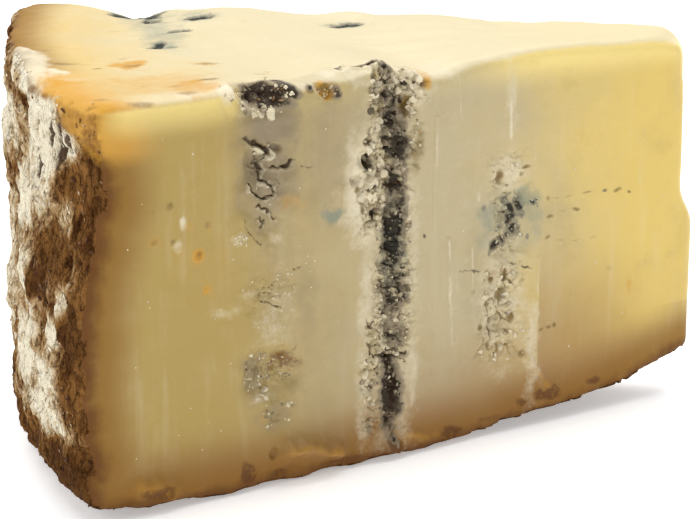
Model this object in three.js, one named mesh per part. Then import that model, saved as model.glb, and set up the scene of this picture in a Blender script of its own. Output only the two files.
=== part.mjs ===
// Wedge of a drum-shaped blue cheese, in millimetres, +Z up.
// The point of the wedge looks along +X, the rind along -X, and the shown cut face along -Y.
import * as THREE from 'three';
import { mergeVertices } from 'three/addons/utils/BufferGeometryUtils.js';
import { ImprovedNoise } from 'three/addons/math/ImprovedNoise.js';

// Wheel and cut
const WHEEL_RADIUS = 100;
const HALF_ANGLE = THREE.MathUtils.degToRad(20);
const TIP_RADIUS = 6.1;
const RIND_CORNER = 2.2;
const TIP_CORNER = 1.4;
const CENTRE = new THREE.Vector2(-62, 0);

// Heights: the top waves a little, the underside is flat in the middle and lifts toward the point
const TOP_NEAR = 51.6;
const TOP_FAR = 52.9;
const TOP_EDGE = 1.3;
const CUT_BASE_EDGE = 0.8;
const RIND_BASE_EDGE = 1.8;
const FLAT_FROM = 44;
const FLAT_TO = 80;
const TIP_STEP = 1.2;
const TIP_STEP_LENGTH = 7;
const TIP_LIFT = 5.3;
const TIP_LIFT_POWER = 2.2;
const HEEL_LIFT = 1.5;
const HEEL_LIFT_POWER = 1.7;

// Bulge of the rind, larger at the shown corner
const BULGE_NEAR = 4.2;
const BULGE_FAR = 0.1;
const BULGE_FADE = 2.6;
const BULGE_HEIGHT = 0.29;
const BULGE_SPREAD = 0.3;
const BULGE_REACH = 24;

// Chipped point: the upper part stands back from the lower part
const CHIP_DEPTH = 2.1;
const CHIP_LOW = 24.5;
const CHIP_HIGH = 30;
const CHIP_REACH = 9;

// Grain of the surfaces
const RIND_LUMP = 1.1;
const RIND_LUMP_LENGTH = 7.5;
const RIND_CRAG = 0.95;
const RIND_CRAG_LENGTH = 3.4;
const RIND_CRACK = 0.9;
const RIND_CRACK_LENGTH = 11;
const CUT_WAVE = 0.22;
const CUT_WAVE_LENGTH = 16;
const BASE_CRAG = 0.5;
const BASE_CRAG_LENGTH = 4;
const BASE_BAND = 3.2;
const CRUMB_LENGTH = 1.7;
const CLEFT_LENGTH = 5.1;
const CLEFT_MEAN = 0.75;
const CLEFT_SWING = 0.5;
const VEIN_END = 1.2;
const RIDGE_END = 0.8;
const WANDER = 0.9;
const WANDER_LENGTH = 11;
const CREASE_WIDTH = 0.2;
const RIM_CALM = 0.5;
const RIM_CALM_FROM = 0.93;
const LAYERS = { nearWave: 1, farWave: 2, rindLump: 3, rindCrag: 5, rindCrease: 7 };

// Mesh steps
const FINE_STEP = 0.9;
const MARGIN_STEP = 1.5;
const COARSE_STEP = 3.4;
const FAR_FINE_STEP = 1.9;
const FAR_COARSE_STEP = 4.4;
const FAR_FINE_REACH = 1.8;
const RIND_STEP = 2.0;
const ROW_STEP = 1.65;
const EDGE_ROW_STEP = 0.55;
const EDGE_BAND = 1.7;
const CORNER_STEPS = 2;
const TIP_STEPS = 2;
const MERGE_DISTANCE = 1e-4;
const VEIN_CORES = [[36.8, 42.6], [54, 62.6], [73.2, 80.4]];
const VEIN_MARGINS = [[33, 66], [70.5, 82]];
const TOP_RINGS = [0.985, 0.95, 0.89, 0.8, 0.66, 0.46, 0.24];
const BASE_RINGS = [0.3, 0.6, 0.82, 0.95];

// Swells and dips of the top along the shown edge and along the hidden edge,
// each at a distance from the wheel's axis
const NEAR_SWELLS = [
  { at: 80, spread: 5, rise: 0.5 },
  { at: 70, spread: 3.5, rise: -0.4 },
  { at: 60, spread: 4.5, rise: 1.0 },
  { at: 50.5, spread: 3.5, rise: -1.0 },
  { at: 32, spread: 10, rise: 0.9 },
  { at: 7, spread: 4, rise: -0.9 },
];
const FAR_SWELLS = [
  { at: 94, spread: 5, rise: 1.0 },
  { at: 83, spread: 3.5, rise: -1.0 },
  { at: 70, spread: 6, rise: 0.9 },
  { at: 44, spread: 6, rise: 0.4 },
  { at: 31, spread: 4, rise: -0.8 },
  { at: 14, spread: 9, rise: -0.5 },
  { at: 6, spread: 3, rise: -0.8 },
];

// Mould veins of the shown face: upright crumbly clefts
const NEAR_VEINS = [
  { at: 76.8, half: 2.3, depth: 1.5, crumb: 1.2, low: 33, high: 46.5 },
  { at: 75.6, half: 3.0, depth: 0.5, crumb: 0.5, low: 22, high: 29 },
  { at: 75.6, half: 3.4, depth: 0.9, crumb: 1.3, low: 12.5, high: 18.5 },
  { at: 75, half: 1.8, depth: 0.5, crumb: 0.8, low: 8, high: 11 },
  { at: 57.9, half: 2.1, depth: 2.9, crumb: 1.6, low: 2.5, high: 53 },
  { at: 55, half: 2.0, depth: 0.9, crumb: 1.4, low: 42, high: 53 },
  { at: 60.6, half: 1.5, depth: 0.5, crumb: 1.3, low: 4, high: 20 },
  { at: 39.4, half: 2.2, depth: 1.3, crumb: 1.3, low: 24, high: 34 },
  { at: 40.2, half: 2.4, depth: 0.8, crumb: 1.0, low: 11, high: 23 },
];

// Mould veins of the hidden face
const FAR_VEINS = [
  { at: 79, half: 2.2, depth: 1.6, crumb: 1.2, low: 8, high: 50 },
  { at: 53, half: 2.4, depth: 2.0, crumb: 1.4, low: 12, high: 46 },
  { at: 31, half: 2.0, depth: 1.4, crumb: 1.1, low: 18, high: 44 },
];

// Torn holes of the shown face, at a distance from the wheel's axis and a height
const NEAR_PITS = [
  { at: 77.2, up: 51.2, wide: 3.1, tall: 1.9, depth: 3.4 },
  { at: 74.6, up: 51.0, wide: 1.7, tall: 1.4, depth: 1.6 },
  { at: 67.8, up: 51.2, wide: 1.7, tall: 1.0, depth: 1.0 },
  { at: 61.8, up: 52.8, wide: 3.2, tall: 0.9, depth: 1.2 },
  { at: 77.0, up: 44.4, wide: 1.5, tall: 0.9, depth: 1.2 },
  { at: 77.4, up: 41.6, wide: 1.3, tall: 1.0, depth: 1.2 },
  { at: 61.0, up: 40.5, wide: 1.3, tall: 1.2, depth: 1.8 },
  { at: 61.5, up: 36.6, wide: 1.1, tall: 0.8, depth: 1.2 },
  { at: 60.4, up: 33.6, wide: 0.9, tall: 0.9, depth: 1.1 },
  { at: 63.5, up: 38.4, wide: 1.1, tall: 1.0, depth: 0.7 },
  { at: 40.4, up: 36.0, wide: 0.9, tall: 0.9, depth: 0.7 },
];

// Raised drag lines of the knife and the pale flap above the base
const NEAR_RIDGES = [
  { at: 48.4, lean: 0, wide: 0.75, low: 15, high: 27, rise: 0.3 },
  { at: 50.2, lean: 0, wide: 0.7, low: 39, high: 46, rise: 0.25 },
  { at: 47.2, lean: 0, wide: 0.7, low: 43, high: 51, rise: 0.2 },
  { at: 39.0, lean: 0, wide: 0.7, low: 41, high: 51, rise: 0.25 },
  { at: 34.3, lean: 0, wide: 0.75, low: 8, high: 25, rise: 0.25 },
  { at: 70.5, lean: 2.6, wide: 3.2, low: 2.8, high: 5.6, rise: 0.8 },
];

// Lump of pale crust on the rim
const RIM_LUMP_ANGLE = THREE.MathUtils.degToRad(-3);
const RIM_LUMP_SPREAD = THREE.MathUtils.degToRad(3);
const RIM_LUMP_RISE = 0.8;
const RIM_RISE = 0.7;
const RIM_WIDTH = 3.5;

const PASTE_COLOUR = 0xd8c48c;
const PASTE_ROUGHNESS = 0.5;

const grain = new ImprovedNoise();
const { smoothstep, lerp, clamp } = THREE.MathUtils;

function bell(distance, spread) {
  return Math.exp(-(distance / spread) * (distance / spread));
}

// Like a bell, with a flat floor and steep walls
function bowl(distance, spread) {
  return Math.exp(-Math.pow(distance / spread, 4));
}

function band(value, low, high, soft) {
  return smoothstep(value, low - soft, low + soft) * (1 - smoothstep(value, high - soft, high + soft));
}

function swellSum(swells, radius) {
  return swells.reduce((sum, swell) => sum + swell.rise * bell(radius - swell.at, swell.spread), 0);
}

// Share of the way from the shown face (0) to the hidden face (1)
function across(x, y) {
  return clamp(0.5 + 0.5 * Math.atan2(y, -x) / HALF_ANGLE, 0, 1);
}

function topHeight(x, y) {
  const radius = Math.hypot(x, y);
  const share = across(x, y);
  const near = TOP_NEAR + swellSum(NEAR_SWELLS, radius);
  const far = TOP_FAR + swellSum(FAR_SWELLS, radius);
  const angle = Math.atan2(y, -x);
  const rim = smoothstep(radius, WHEEL_RADIUS - RIM_WIDTH, WHEEL_RADIUS);
  const lump = rim * (RIM_RISE * share + RIM_LUMP_RISE * bell(angle - RIM_LUMP_ANGLE, RIM_LUMP_SPREAD));
  const wave = CUT_WAVE * grain.noise(x / CUT_WAVE_LENGTH, y / CUT_WAVE_LENGTH, TOP_NEAR);
  return lerp(near, far, smoothstep(share, 0, 1)) + lump + wave;
}

function baseHeight(x, y) {
  const radius = Math.hypot(x, y);
  const toTip = clamp((FLAT_FROM - radius) / (FLAT_FROM - TIP_RADIUS), 0, 1);
  const toHeel = clamp((radius - FLAT_TO) / (WHEEL_RADIUS - FLAT_TO), 0, 1);
  const step = TIP_STEP * smoothstep(FLAT_FROM - radius, 0, TIP_STEP_LENGTH);
  const tip = TIP_LIFT * Math.pow(toTip, TIP_LIFT_POWER);
  return step + tip + HEEL_LIFT * Math.pow(toHeel, HEEL_LIFT_POWER);
}

function edgeInset(distance, radius) {
  const rest = clamp(radius - distance, 0, radius);
  return radius - Math.sqrt(radius * radius - rest * rest);
}

// Depth of a crumbly cleft at a distance from the axis and a height
function veinDepth(vein, at, up) {
  const shift = WANDER * grain.noise(up / WANDER_LENGTH, vein.at, vein.low);
  const reach = bell(at - vein.at - shift, vein.half) * band(up, vein.low, vein.high, VEIN_END);
  const crumbs = grain.noise(at / CRUMB_LENGTH, up / CRUMB_LENGTH, vein.at);
  const cleft = CLEFT_MEAN + CLEFT_SWING * grain.noise(at / CLEFT_LENGTH, up / CLEFT_LENGTH, vein.low);
  return reach * (vein.depth * cleft + vein.crumb * crumbs);
}

function cutWave(at, up, layer) {
  return CUT_WAVE * grain.noise(at / CUT_WAVE_LENGTH, up / CUT_WAVE_LENGTH, layer);
}

function baseCrag(along, up) {
  const reach = 1 - smoothstep(up, 0, BASE_BAND);
  return BASE_CRAG * reach * grain.noise(along / BASE_CRAG_LENGTH, up / BASE_CRAG_LENGTH, BASE_BAND);
}

// Outward relief of the two cut faces and the rind
function nearRelief(at, up, lift) {
  let out = cutWave(at, up, LAYERS.nearWave) + baseCrag(at, up - lift);
  for (const vein of NEAR_VEINS) out -= veinDepth(vein, at, up);
  for (const pit of NEAR_PITS) out -= pit.depth * bowl(at - pit.at, pit.wide) * bowl(up - pit.up, pit.tall);
  for (const ridge of NEAR_RIDGES) {
    const middle = (ridge.low + ridge.high) / 2;
    const line = ridge.at + ridge.lean * (up - middle);
    out += ridge.rise * bell(at - line, ridge.wide) * band(up, ridge.low, ridge.high, RIDGE_END);
  }
  return out;
}

function farRelief(at, up, lift) {
  let out = cutWave(at, up, LAYERS.farWave) + baseCrag(at, up - lift);
  for (const vein of FAR_VEINS) out -= veinDepth(vein, at, up);
  return out;
}

function rindRelief(angle, up) {
  const along = angle * WHEEL_RADIUS;
  const lump = grain.noise(along / RIND_LUMP_LENGTH, up / RIND_LUMP_LENGTH, LAYERS.rindLump);
  const crag = grain.noise(along / RIND_CRAG_LENGTH, up / RIND_CRAG_LENGTH, LAYERS.rindCrag);
  const crease = Math.abs(grain.noise(along / RIND_CRACK_LENGTH, up / RIND_CRACK_LENGTH, LAYERS.rindCrease));
  return RIND_LUMP * lump + RIND_CRAG * crag - RIND_CRACK * (1 - smoothstep(crease, 0, CREASE_WIDTH));
}

// Outline of the wedge seen from above, walked from the rind along the shown face to the point
const nearWay = new THREE.Vector2(-Math.cos(HALF_ANGLE), -Math.sin(HALF_ANGLE));
const farWay = new THREE.Vector2(-Math.cos(HALF_ANGLE), Math.sin(HALF_ANGLE));

function onWay(way, distance) {
  return way.clone().multiplyScalar(distance);
}

// Stations between two distances, closer together where a vein runs
function stations(from, to, stepAt) {
  const list = [from];
  const direction = Math.sign(to - from);
  let here = from;
  while (Math.abs(to - here) > FINE_STEP) {
    here += direction * Math.min(stepAt(here), Math.abs(to - here));
    list.push(here);
  }
  list[list.length - 1] = to;
  return list;
}

function inBands(at, bands) {
  return bands.some(([low, high]) => at > low && at < high);
}

function nearStep(at) {
  if (inBands(at, VEIN_CORES)) return FINE_STEP;
  return inBands(at, VEIN_MARGINS) ? MARGIN_STEP : COARSE_STEP;
}

function farStep(at) {
  const inVein = FAR_VEINS.some((vein) => Math.abs(at - vein.at) < FAR_FINE_REACH * vein.half);
  return inVein ? FAR_FINE_STEP : FAR_COARSE_STEP;
}

function evenShares(count) {
  return Array.from({ length: count }, (_, index) => index / count);
}

function buildOutline() {
  const tipNear = onWay(nearWay, TIP_RADIUS);
  const tipFar = onWay(farWay, TIP_RADIUS);
  const tipStep = tipFar.clone().sub(tipNear).normalize().multiplyScalar(TIP_CORNER);
  const turn = RIND_CORNER / WHEEL_RADIUS;
  const arc = new THREE.EllipseCurve(
    0, 0, WHEEL_RADIUS, WHEEL_RADIUS,
    Math.PI - HALF_ANGLE + turn, Math.PI + HALF_ANGLE - turn, false, 0,
  );
  const heel = WHEEL_RADIUS - RIND_CORNER;
  const toe = TIP_RADIUS + TIP_CORNER;
  const nearStart = onWay(nearWay, heel);
  const nearEnd = onWay(nearWay, toe);
  const farStart = onWay(farWay, toe);
  const farEnd = onWay(farWay, heel);
  const tipStart = tipNear.clone().add(tipStep);
  const tipEnd = tipFar.clone().sub(tipStep);
  const shares = (list) => list.slice(0, -1).map((at) => (at - list[0]) / (list.at(-1) - list[0]));
  const corner = (a, b, c) => new THREE.QuadraticBezierCurve(a, b, c);
  const arcCount = Math.round(arc.getLength() / RIND_STEP);
  const runs = [
    [new THREE.LineCurve(nearStart, nearEnd), shares(stations(heel, toe, nearStep)), 'near'],
    [corner(nearEnd, tipNear, tipStart), evenShares(CORNER_STEPS), 'near'],
    [new THREE.LineCurve(tipStart, tipEnd), evenShares(TIP_STEPS), 'tip'],
    [corner(tipEnd, tipFar, farStart), evenShares(CORNER_STEPS), 'far'],
    [new THREE.LineCurve(farStart, farEnd), shares(stations(toe, heel, farStep)), 'far'],
    [corner(farEnd, onWay(farWay, WHEEL_RADIUS), arc.getPoint(0)), evenShares(CORNER_STEPS), 'rind'],
    [arc, evenShares(arcCount), 'rind'],
    [corner(arc.getPoint(1), onWay(nearWay, WHEEL_RADIUS), nearStart), evenShares(CORNER_STEPS), 'rind'],
  ];
  const outline = [];
  for (const [curve, shareList, side] of runs) {
    for (const share of shareList) {
      const point = curve.getPoint(share);
      const tangent = curve.getTangent(share);
      outline.push({ point, out: new THREE.Vector2(tangent.y, -tangent.x), side });
    }
  }
  return outline;
}

// Rows up the side, closer together at the two edges
function buildRows() {
  const rows = [0];
  let here = 0;
  while (TOP_NEAR - here > EDGE_ROW_STEP) {
    const nearEdge = here < EDGE_BAND || TOP_NEAR - here < EDGE_BAND;
    here += nearEdge ? EDGE_ROW_STEP : Math.min(ROW_STEP, TOP_NEAR - here);
    rows.push(here / TOP_NEAR);
  }
  rows[rows.length - 1] = 1;
  return rows;
}

// Place on the side of the wedge: outline station and share of the height
function sidePoint(station, share) {
  const { point, out, side } = station;
  const base = baseHeight(point.x, point.y);
  const top = topHeight(point.x, point.y);
  const up = lerp(base, top, share);
  const radius = point.length();
  const angle = Math.atan2(point.y, -point.x);
  const atRind = smoothstep(radius, WHEEL_RADIUS - RIND_CORNER, WHEEL_RADIUS);
  const baseEdge = lerp(CUT_BASE_EDGE, RIND_BASE_EDGE, atRind);
  let push = -edgeInset(top - up, TOP_EDGE) - edgeInset(up - base, baseEdge);
  if (side === 'near') push += nearRelief(radius, up, base);
  if (side === 'far') push += farRelief(radius, up, base);
  if (side === 'rind') push += rindRelief(angle, up) * (1 - RIM_CALM * smoothstep(share, RIM_CALM_FROM, 1));
  const nearness = Math.pow(1 - across(point.x, point.y), BULGE_FADE);
  const bulge = lerp(BULGE_FAR, BULGE_NEAR, nearness) * bell(share - BULGE_HEIGHT, BULGE_SPREAD);
  const chip = CHIP_DEPTH * smoothstep(up, CHIP_LOW, CHIP_HIGH);
  const swell = bulge * smoothstep(radius, WHEEL_RADIUS - BULGE_REACH, WHEEL_RADIUS);
  const recess = chip * (1 - smoothstep(radius, TIP_RADIUS, TIP_RADIUS + CHIP_REACH));
  const radial = (swell + recess) / radius;
  return new THREE.Vector3(
    point.x * (1 + radial) + out.x * push,
    point.y * (1 + radial) + out.y * push,
    up,
  );
}

// Place on the top or the underside: share of the way from the middle to the edge
function flatPoint(station, ring, edgeShare, height) {
  const edge = sidePoint(station, edgeShare);
  const x = lerp(CENTRE.x, edge.x, ring);
  const y = lerp(CENTRE.y, edge.y, ring);
  return new THREE.Vector3(x, y, height(x, y));
}

function buildWedge() {
  const outline = buildOutline();
  const rows = buildRows();
  const rings = [
    ...[0, ...BASE_RINGS].map((ring) => (station) => flatPoint(station, ring, 0, baseHeight)),
    ...rows.map((share) => (station) => sidePoint(station, share)),
    ...[...TOP_RINGS, 0].map((ring) => (station) => flatPoint(station, ring, 1, topHeight)),
  ];
  const isEnd = (index) => index === 0 || index === rings.length - 1;
  const profile = rings.map((_, index) => new THREE.Vector2(isEnd(index) ? 0 : 1, index));
  const geometry = new THREE.LatheGeometry(profile, outline.length);
  const position = geometry.getAttribute('position');
  for (let index = 0; index < position.count; index += 1) {
    const column = Math.floor(index / rings.length) % outline.length;
    const place = rings[index % rings.length](outline[column]);
    position.setXYZ(index, place.x, place.y, place.z);
  }
  geometry.deleteAttribute('normal');
  geometry.deleteAttribute('uv');
  return closeUp(mergeVertices(geometry, MERGE_DISTANCE));
}

// Drop the empty triangles where the rings run together in the middle of the top and the underside
function closeUp(geometry) {
  const corners = geometry.getIndex().array;
  const kept = [];
  for (let first = 0; first < corners.length; first += 3) {
    const [a, b, c] = corners.slice(first, first + 3);
    if (a !== b && b !== c && c !== a) kept.push(a, b, c);
  }
  geometry.setIndex(kept);
  geometry.computeBoundingBox();
  const box = geometry.boundingBox;
  const middle = box.getCenter(new THREE.Vector3());
  geometry.translate(-middle.x, -middle.y, -box.min.z);
  geometry.computeVertexNormals();
  return geometry;
}

const paste = new THREE.MeshStandardMaterial({
  color: PASTE_COLOUR,
  roughness: PASTE_ROUGHNESS,
  metalness: 0,
});
const wedge = new THREE.Mesh(buildWedge(), paste);
wedge.name = 'cheese_wedge';

const part = new THREE.Group();
part.name = 'blue_cheese_wedge';
part.add(wedge);

export default part;
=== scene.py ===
"""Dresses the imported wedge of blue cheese: paste, rind, mould veins, crumbs and a pale studio."""
import math
from collections import namedtuple

import bpy
import numpy as np
from bpy.props import FloatProperty, FloatVectorProperty, IntProperty, PointerProperty
from mathutils import Euler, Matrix, Vector, bvhtree, kdtree


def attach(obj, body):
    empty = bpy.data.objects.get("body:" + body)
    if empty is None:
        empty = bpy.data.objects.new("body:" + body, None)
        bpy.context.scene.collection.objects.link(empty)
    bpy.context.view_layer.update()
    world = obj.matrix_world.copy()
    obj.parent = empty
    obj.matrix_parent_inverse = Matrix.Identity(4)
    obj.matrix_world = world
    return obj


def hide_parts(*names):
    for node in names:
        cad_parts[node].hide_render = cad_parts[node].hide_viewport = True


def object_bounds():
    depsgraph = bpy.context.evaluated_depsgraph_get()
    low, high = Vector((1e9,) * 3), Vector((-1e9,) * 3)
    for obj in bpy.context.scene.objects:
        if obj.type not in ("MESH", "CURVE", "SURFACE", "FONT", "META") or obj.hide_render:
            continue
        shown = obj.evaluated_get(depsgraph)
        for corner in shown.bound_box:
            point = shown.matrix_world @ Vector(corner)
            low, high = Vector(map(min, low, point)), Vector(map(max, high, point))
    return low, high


bl_info = {
    "name": "Blue Cheese Wedge",
    "version": (1, 0, 0),
    "blender": (4, 5, 0),
    "location": "View3D > Sidebar > Cheese",
    "description": "Dresses a wedge of blue cheese with paste, rind, mould veins and crumbs",
    "category": "Object",
}

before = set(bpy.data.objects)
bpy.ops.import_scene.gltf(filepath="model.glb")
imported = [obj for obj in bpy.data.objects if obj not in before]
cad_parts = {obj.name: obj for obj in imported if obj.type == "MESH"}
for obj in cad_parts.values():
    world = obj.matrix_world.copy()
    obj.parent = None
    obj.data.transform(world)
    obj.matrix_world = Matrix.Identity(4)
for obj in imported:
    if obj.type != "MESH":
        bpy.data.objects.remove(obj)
CAD_LOW, CAD_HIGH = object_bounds()
NODE = "cheese_wedge"
BODY = "root"
MM = 0.001
UPWARD = Vector((0.0, 0.0, 1.0))
# Radius of the wheel in millimetres
WHEEL_RADIUS = 100
# Size of the body's mesh cells in metres, and the fewest points that a packed wedge leaves
BODY_GRAIN = 0.00051
FEWEST_POINTS = 1000
# Farthest distances from the rind and from a crack that are kept, in millimetres
FIELD_REACH = 12.0
CRACK_REACH = 1.0
# Distance in millimetres over which the rind gives way to paste
RIND_FADE = 0.45
# Round the top edge of a cut face the way out turns upward about a line behind the face:
# its height and depth in millimetres
EDGE_UP = 47.0
EDGE_DEPTH = 7.0
# How far the body is sunk under a finer patch in millimetres
PATCH_SINK = 3.0
# How far a patch is closed behind and below in metres
PATCH_DEPTH = 0.004
PATCH_DROP = 0.0008
# How far out in metres the lines start that seek the cheese's surface:
# for patches from the line behind the face, for crumbs from the face and for flakes from the axis
PATCH_START = 0.03
CRUMB_START = 0.02
FLAKE_START = 0.13
# Angles from which edges stay sharp
PATCH_CREASE = math.radians(75)
CRUMB_CREASE = math.radians(20)
# Colour of the floor's faint patches
FLOOR_SHADE = (0.85, 0.85, 0.84, 1.0)
# Tones of a heap's crumbs, from dark at 0 to pale at 1
DARK_TONES = (0.02, 0.25)
GREY_TONES = (0.38, 0.62)
PALE_TONES = (0.72, 1.0)
# Heights between which the hidden face has crumbs
FAR_CRUMBS = (8, 48)

# Places on the two cut faces are given in millimetres:
# at is the distance from the wheel's axis along the face, up is the height above the floor.
Vein = namedtuple("Vein", "at half low high crumb")
Spot = namedtuple("Spot", "at up wide tall amount")
Line = namedtuple("Line", "points width depth")
Heap = namedtuple("Heap", "at up wide tall small large count dark grey warm blue", defaults=(0.0, 0.0))
Cover = namedtuple("Cover", "near low high foot head notch_at notch_up", defaults=(0.0, 0.0))
Patch = namedtuple("Patch", "name cover low high foot step tuck", defaults=(0.0,))


def rows(kind, *values):
    """Named rows of one kind from plain ones."""
    return tuple(kind(*row) for row in values)


# Stretches of the cut faces that are modelled more finely.
# Foot and head are measured up the face and over its edge.
# The shown stretch has a notch under the lifted point.
SHOWN_COVER = Cover(True, 15.04, 84.0, 1.6, 55.68, 51.2, 7.52)
FAR_COVERS = rows(
    Cover, (False, 73.6, 84.4, 5.0, 54.0), (False, 47.6, 58.4, 8.0, 50.4), (False, 26.0, 36.0, 14.0, 48.4))
# The two patches of the shown face meet row by row, and one is tucked a little under the other
PATCHES = rows(
    Patch,
    ("vein_patch_rind", SHOWN_COVER, 50.88, 84.0, 1.6, 0.16, 51.28),
    ("vein_patch_point", SHOWN_COVER, 15.04, 51.2, 7.52, 0.16),
    ("far_patch_rind", FAR_COVERS[0], 73.6, 84.4, 5.0, 0.2),
    ("far_patch_middle", FAR_COVERS[1], 47.6, 58.4, 8.0, 0.2),
    ("far_patch_point", FAR_COVERS[2], 26.0, 36.0, 14.0, 0.2))
# The hidden face's veins are like the shown ones, upside down and at other distances from the axis
FAR_TURN = 54.0
FAR_AT = (0.0, 31.0, 53.0, 79.0, 105.0)
LIKE_AT = (0.0, 39.0, 57.2, 76.0, 105.0)

# Crumbling stretches of the shown face's veins
NEAR_VEINS = rows(
    Vein,
    (57.0, 3.2, 38.0, 52.2, 1.0), (57.2, 2.1, 26.0, 39.0, 0.85), (57.6, 3.0, 13.5, 27.5, 0.85),
    (57.4, 2.1, 4.5, 14.5, 0.75), (56.8, 0.9, 2.0, 5.5, 0.45), (60.2, 2.0, 31.0, 44.0, 0.85),
    (54.2, 1.7, 40.0, 49.0, 0.5), (60.6, 1.6, 4.0, 15.0, 0.55), (76.2, 3.6, 49.2, 51.6, 0.6),
    (75.4, 3.8, 12.3, 18.6, 0.26), (75.0, 2.4, 8.0, 11.4, 0.22), (76.0, 3.6, 24.0, 28.0, 0.22),
    (66.9, 1.8, 49.4, 51.0, 0.35), (38.9, 2.4, 24.5, 34.0, 0.5), (39.9, 3.2, 11.0, 24.0, 0.55),
    (39.2, 3.0, 34.0, 39.0, 0.25))
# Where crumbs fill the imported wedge's deep troughs, and by how many millimetres
NEAR_FILLS = rows(
    Spot,
    (57.5, 22.0, 2.6, 30.0, 1.0), (80.2, 50.4, 1.2, 1.4, 0.8), (75.6, 50.0, 2.4, 1.0, 0.4),
    (76.8, 40.5, 2.0, 5.0, 0.8))
FAR_FILLS = rows(Spot, (79.0, 29.0, 2.4, 34.0, 0.7), (31.0, 31.0, 2.2, 24.0, 0.5))
# Soft unevenness around the veins; amount is its height in millimetres
NEAR_SOFT = rows(
    Spot,
    (76.0, 40.0, 4.0, 8.5, 0.5), (76.0, 26.0, 4.6, 3.2, 0.35), (75.4, 14.0, 4.8, 6.0, 0.35),
    (62.0, 37.0, 3.2, 9.0, 0.35), (39.5, 22.0, 5.0, 15.0, 0.3))
# Torn holes and pits of the shown face; amount is their depth in millimetres
NEAR_PITS = rows(
    Spot,
    (75.6, 15.2, 4.0, 3.2, 1.0), (66.9, 50.1, 1.6, 0.9, 0.9), (59.9, 51.0, 0.6, 0.7, 1.0),
    (60.6, 40.4, 0.75, 0.95, 1.4), (60.9, 43.0, 0.7, 0.5, 0.9), (63.4, 38.2, 0.8, 0.6, 0.5),
    (62.5, 38.9, 0.4, 0.5, 0.4), (60.0, 33.2, 0.6, 0.7, 0.9), (55.1, 46.9, 0.8, 1.2, 0.9),
    (52.3, 50.2, 0.8, 0.9, 0.8), (74.7, 43.9, 0.7, 0.6, 0.7), (40.1, 35.9, 0.5, 0.8, 0.4),
    (75.5, 4.6, 0.8, 0.7, 0.5), (39.6, 19.5, 0.8, 1.2, 0.4), (39.2, 22.3, 0.4, 0.9, 0.5))
# Dark mould of the shown face
NEAR_MOULD = rows(
    Spot,
    (56.6, 44.0, 1.5, 5.0, 0.8), (56.4, 36.0, 1.4, 4.4, 0.8), (57.0, 29.4, 1.5, 4.4, 1.05),
    (57.2, 22.0, 1.8, 4.4, 0.66), (57.0, 17.4, 1.8, 3.4, 0.62), (57.3, 9.2, 1.6, 5.2, 1.05),
    (59.9, 51.0, 0.6, 0.7, 0.95), (57.4, 51.5, 1.6, 0.8, 0.62), (57.1, 48.3, 1.2, 1.2, 0.6),
    (56.9, 46.2, 1.3, 1.3, 0.7), (56.1, 44.1, 1.5, 1.6, 0.8), (55.9, 42.2, 1.5, 1.5, 0.86),
    (55.9, 40.2, 1.2, 1.2, 0.6), (56.2, 38.0, 1.1, 1.0, 0.52), (56.4, 35.8, 1.3, 1.4, 0.64),
    (56.6, 33.0, 1.1, 1.4, 0.82), (57.0, 30.8, 1.3, 1.4, 0.95), (57.1, 28.6, 1.4, 1.4, 1.0),
    (57.4, 26.6, 1.2, 1.0, 0.85), (58.0, 25.6, 0.9, 0.7, 0.72), (56.2, 25.0, 0.8, 0.5, 0.72),
    (58.6, 23.8, 0.7, 0.7, 0.74), (56.8, 23.2, 1.1, 1.2, 0.66), (55.6, 21.7, 0.9, 0.8, 0.58),
    (57.0, 20.5, 1.2, 1.0, 0.45), (57.2, 18.0, 1.2, 1.6, 0.38), (55.2, 17.0, 0.8, 0.8, 0.55),
    (57.2, 14.0, 1.8, 0.6, 0.82), (56.9, 12.0, 1.1, 1.2, 0.9), (57.4, 9.8, 1.3, 1.5, 0.92),
    (57.8, 7.0, 1.3, 1.4, 0.9), (56.8, 4.6, 0.7, 1.2, 0.85), (56.8, 2.6, 0.5, 1.2, 0.75),
    (60.5, 10.4, 0.5, 0.9, 0.5), (60.7, 4.5, 0.4, 0.7, 0.5), (60.6, 40.4, 0.9, 1.1, 1.2),
    (60.9, 43.0, 0.7, 0.5, 0.8), (60.0, 33.2, 0.6, 0.6, 0.75), (63.4, 38.2, 0.8, 0.5, 0.48),
    (76.2, 50.4, 1.6, 1.2, 1.0), (74.4, 50.8, 1.9, 1.3, 1.1), (72.6, 50.9, 1.3, 1.1, 0.95),
    (74.8, 49.6, 2.6, 0.9, 1.0), (69.6, 51.0, 0.3, 0.3, 1.1), (58.2, 50.2, 1.2, 1.0, 0.62),
    (65.6, 49.9, 0.5, 0.7, 0.8), (58.6, 52.9, 1.8, 0.6, 0.8), (74.7, 43.9, 0.7, 0.6, 0.55))
# Dark green mould of the third vein
NEAR_GREEN = rows(
    Spot,
    (38.9, 32.4, 0.5, 0.7, 0.7), (38.5, 31.2, 0.65, 0.9, 0.92), (37.1, 31.6, 0.65, 1.05, 0.92),
    (36.8, 30.3, 0.5, 0.6, 0.7), (38.7, 29.8, 0.7, 0.8, 0.8), (38.0, 28.7, 0.8, 0.8, 0.86),
    (38.7, 27.7, 0.65, 0.65, 0.76), (39.4, 26.9, 0.8, 0.55, 0.78), (40.4, 26.2, 0.95, 0.65, 0.92),
    (41.2, 25.6, 0.5, 0.4, 0.6), (39.9, 28.6, 0.4, 0.4, 0.55), (37.2, 28.0, 0.4, 0.5, 0.6),
    (38.3, 29.6, 1.8, 3.4, 0.34))
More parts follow.
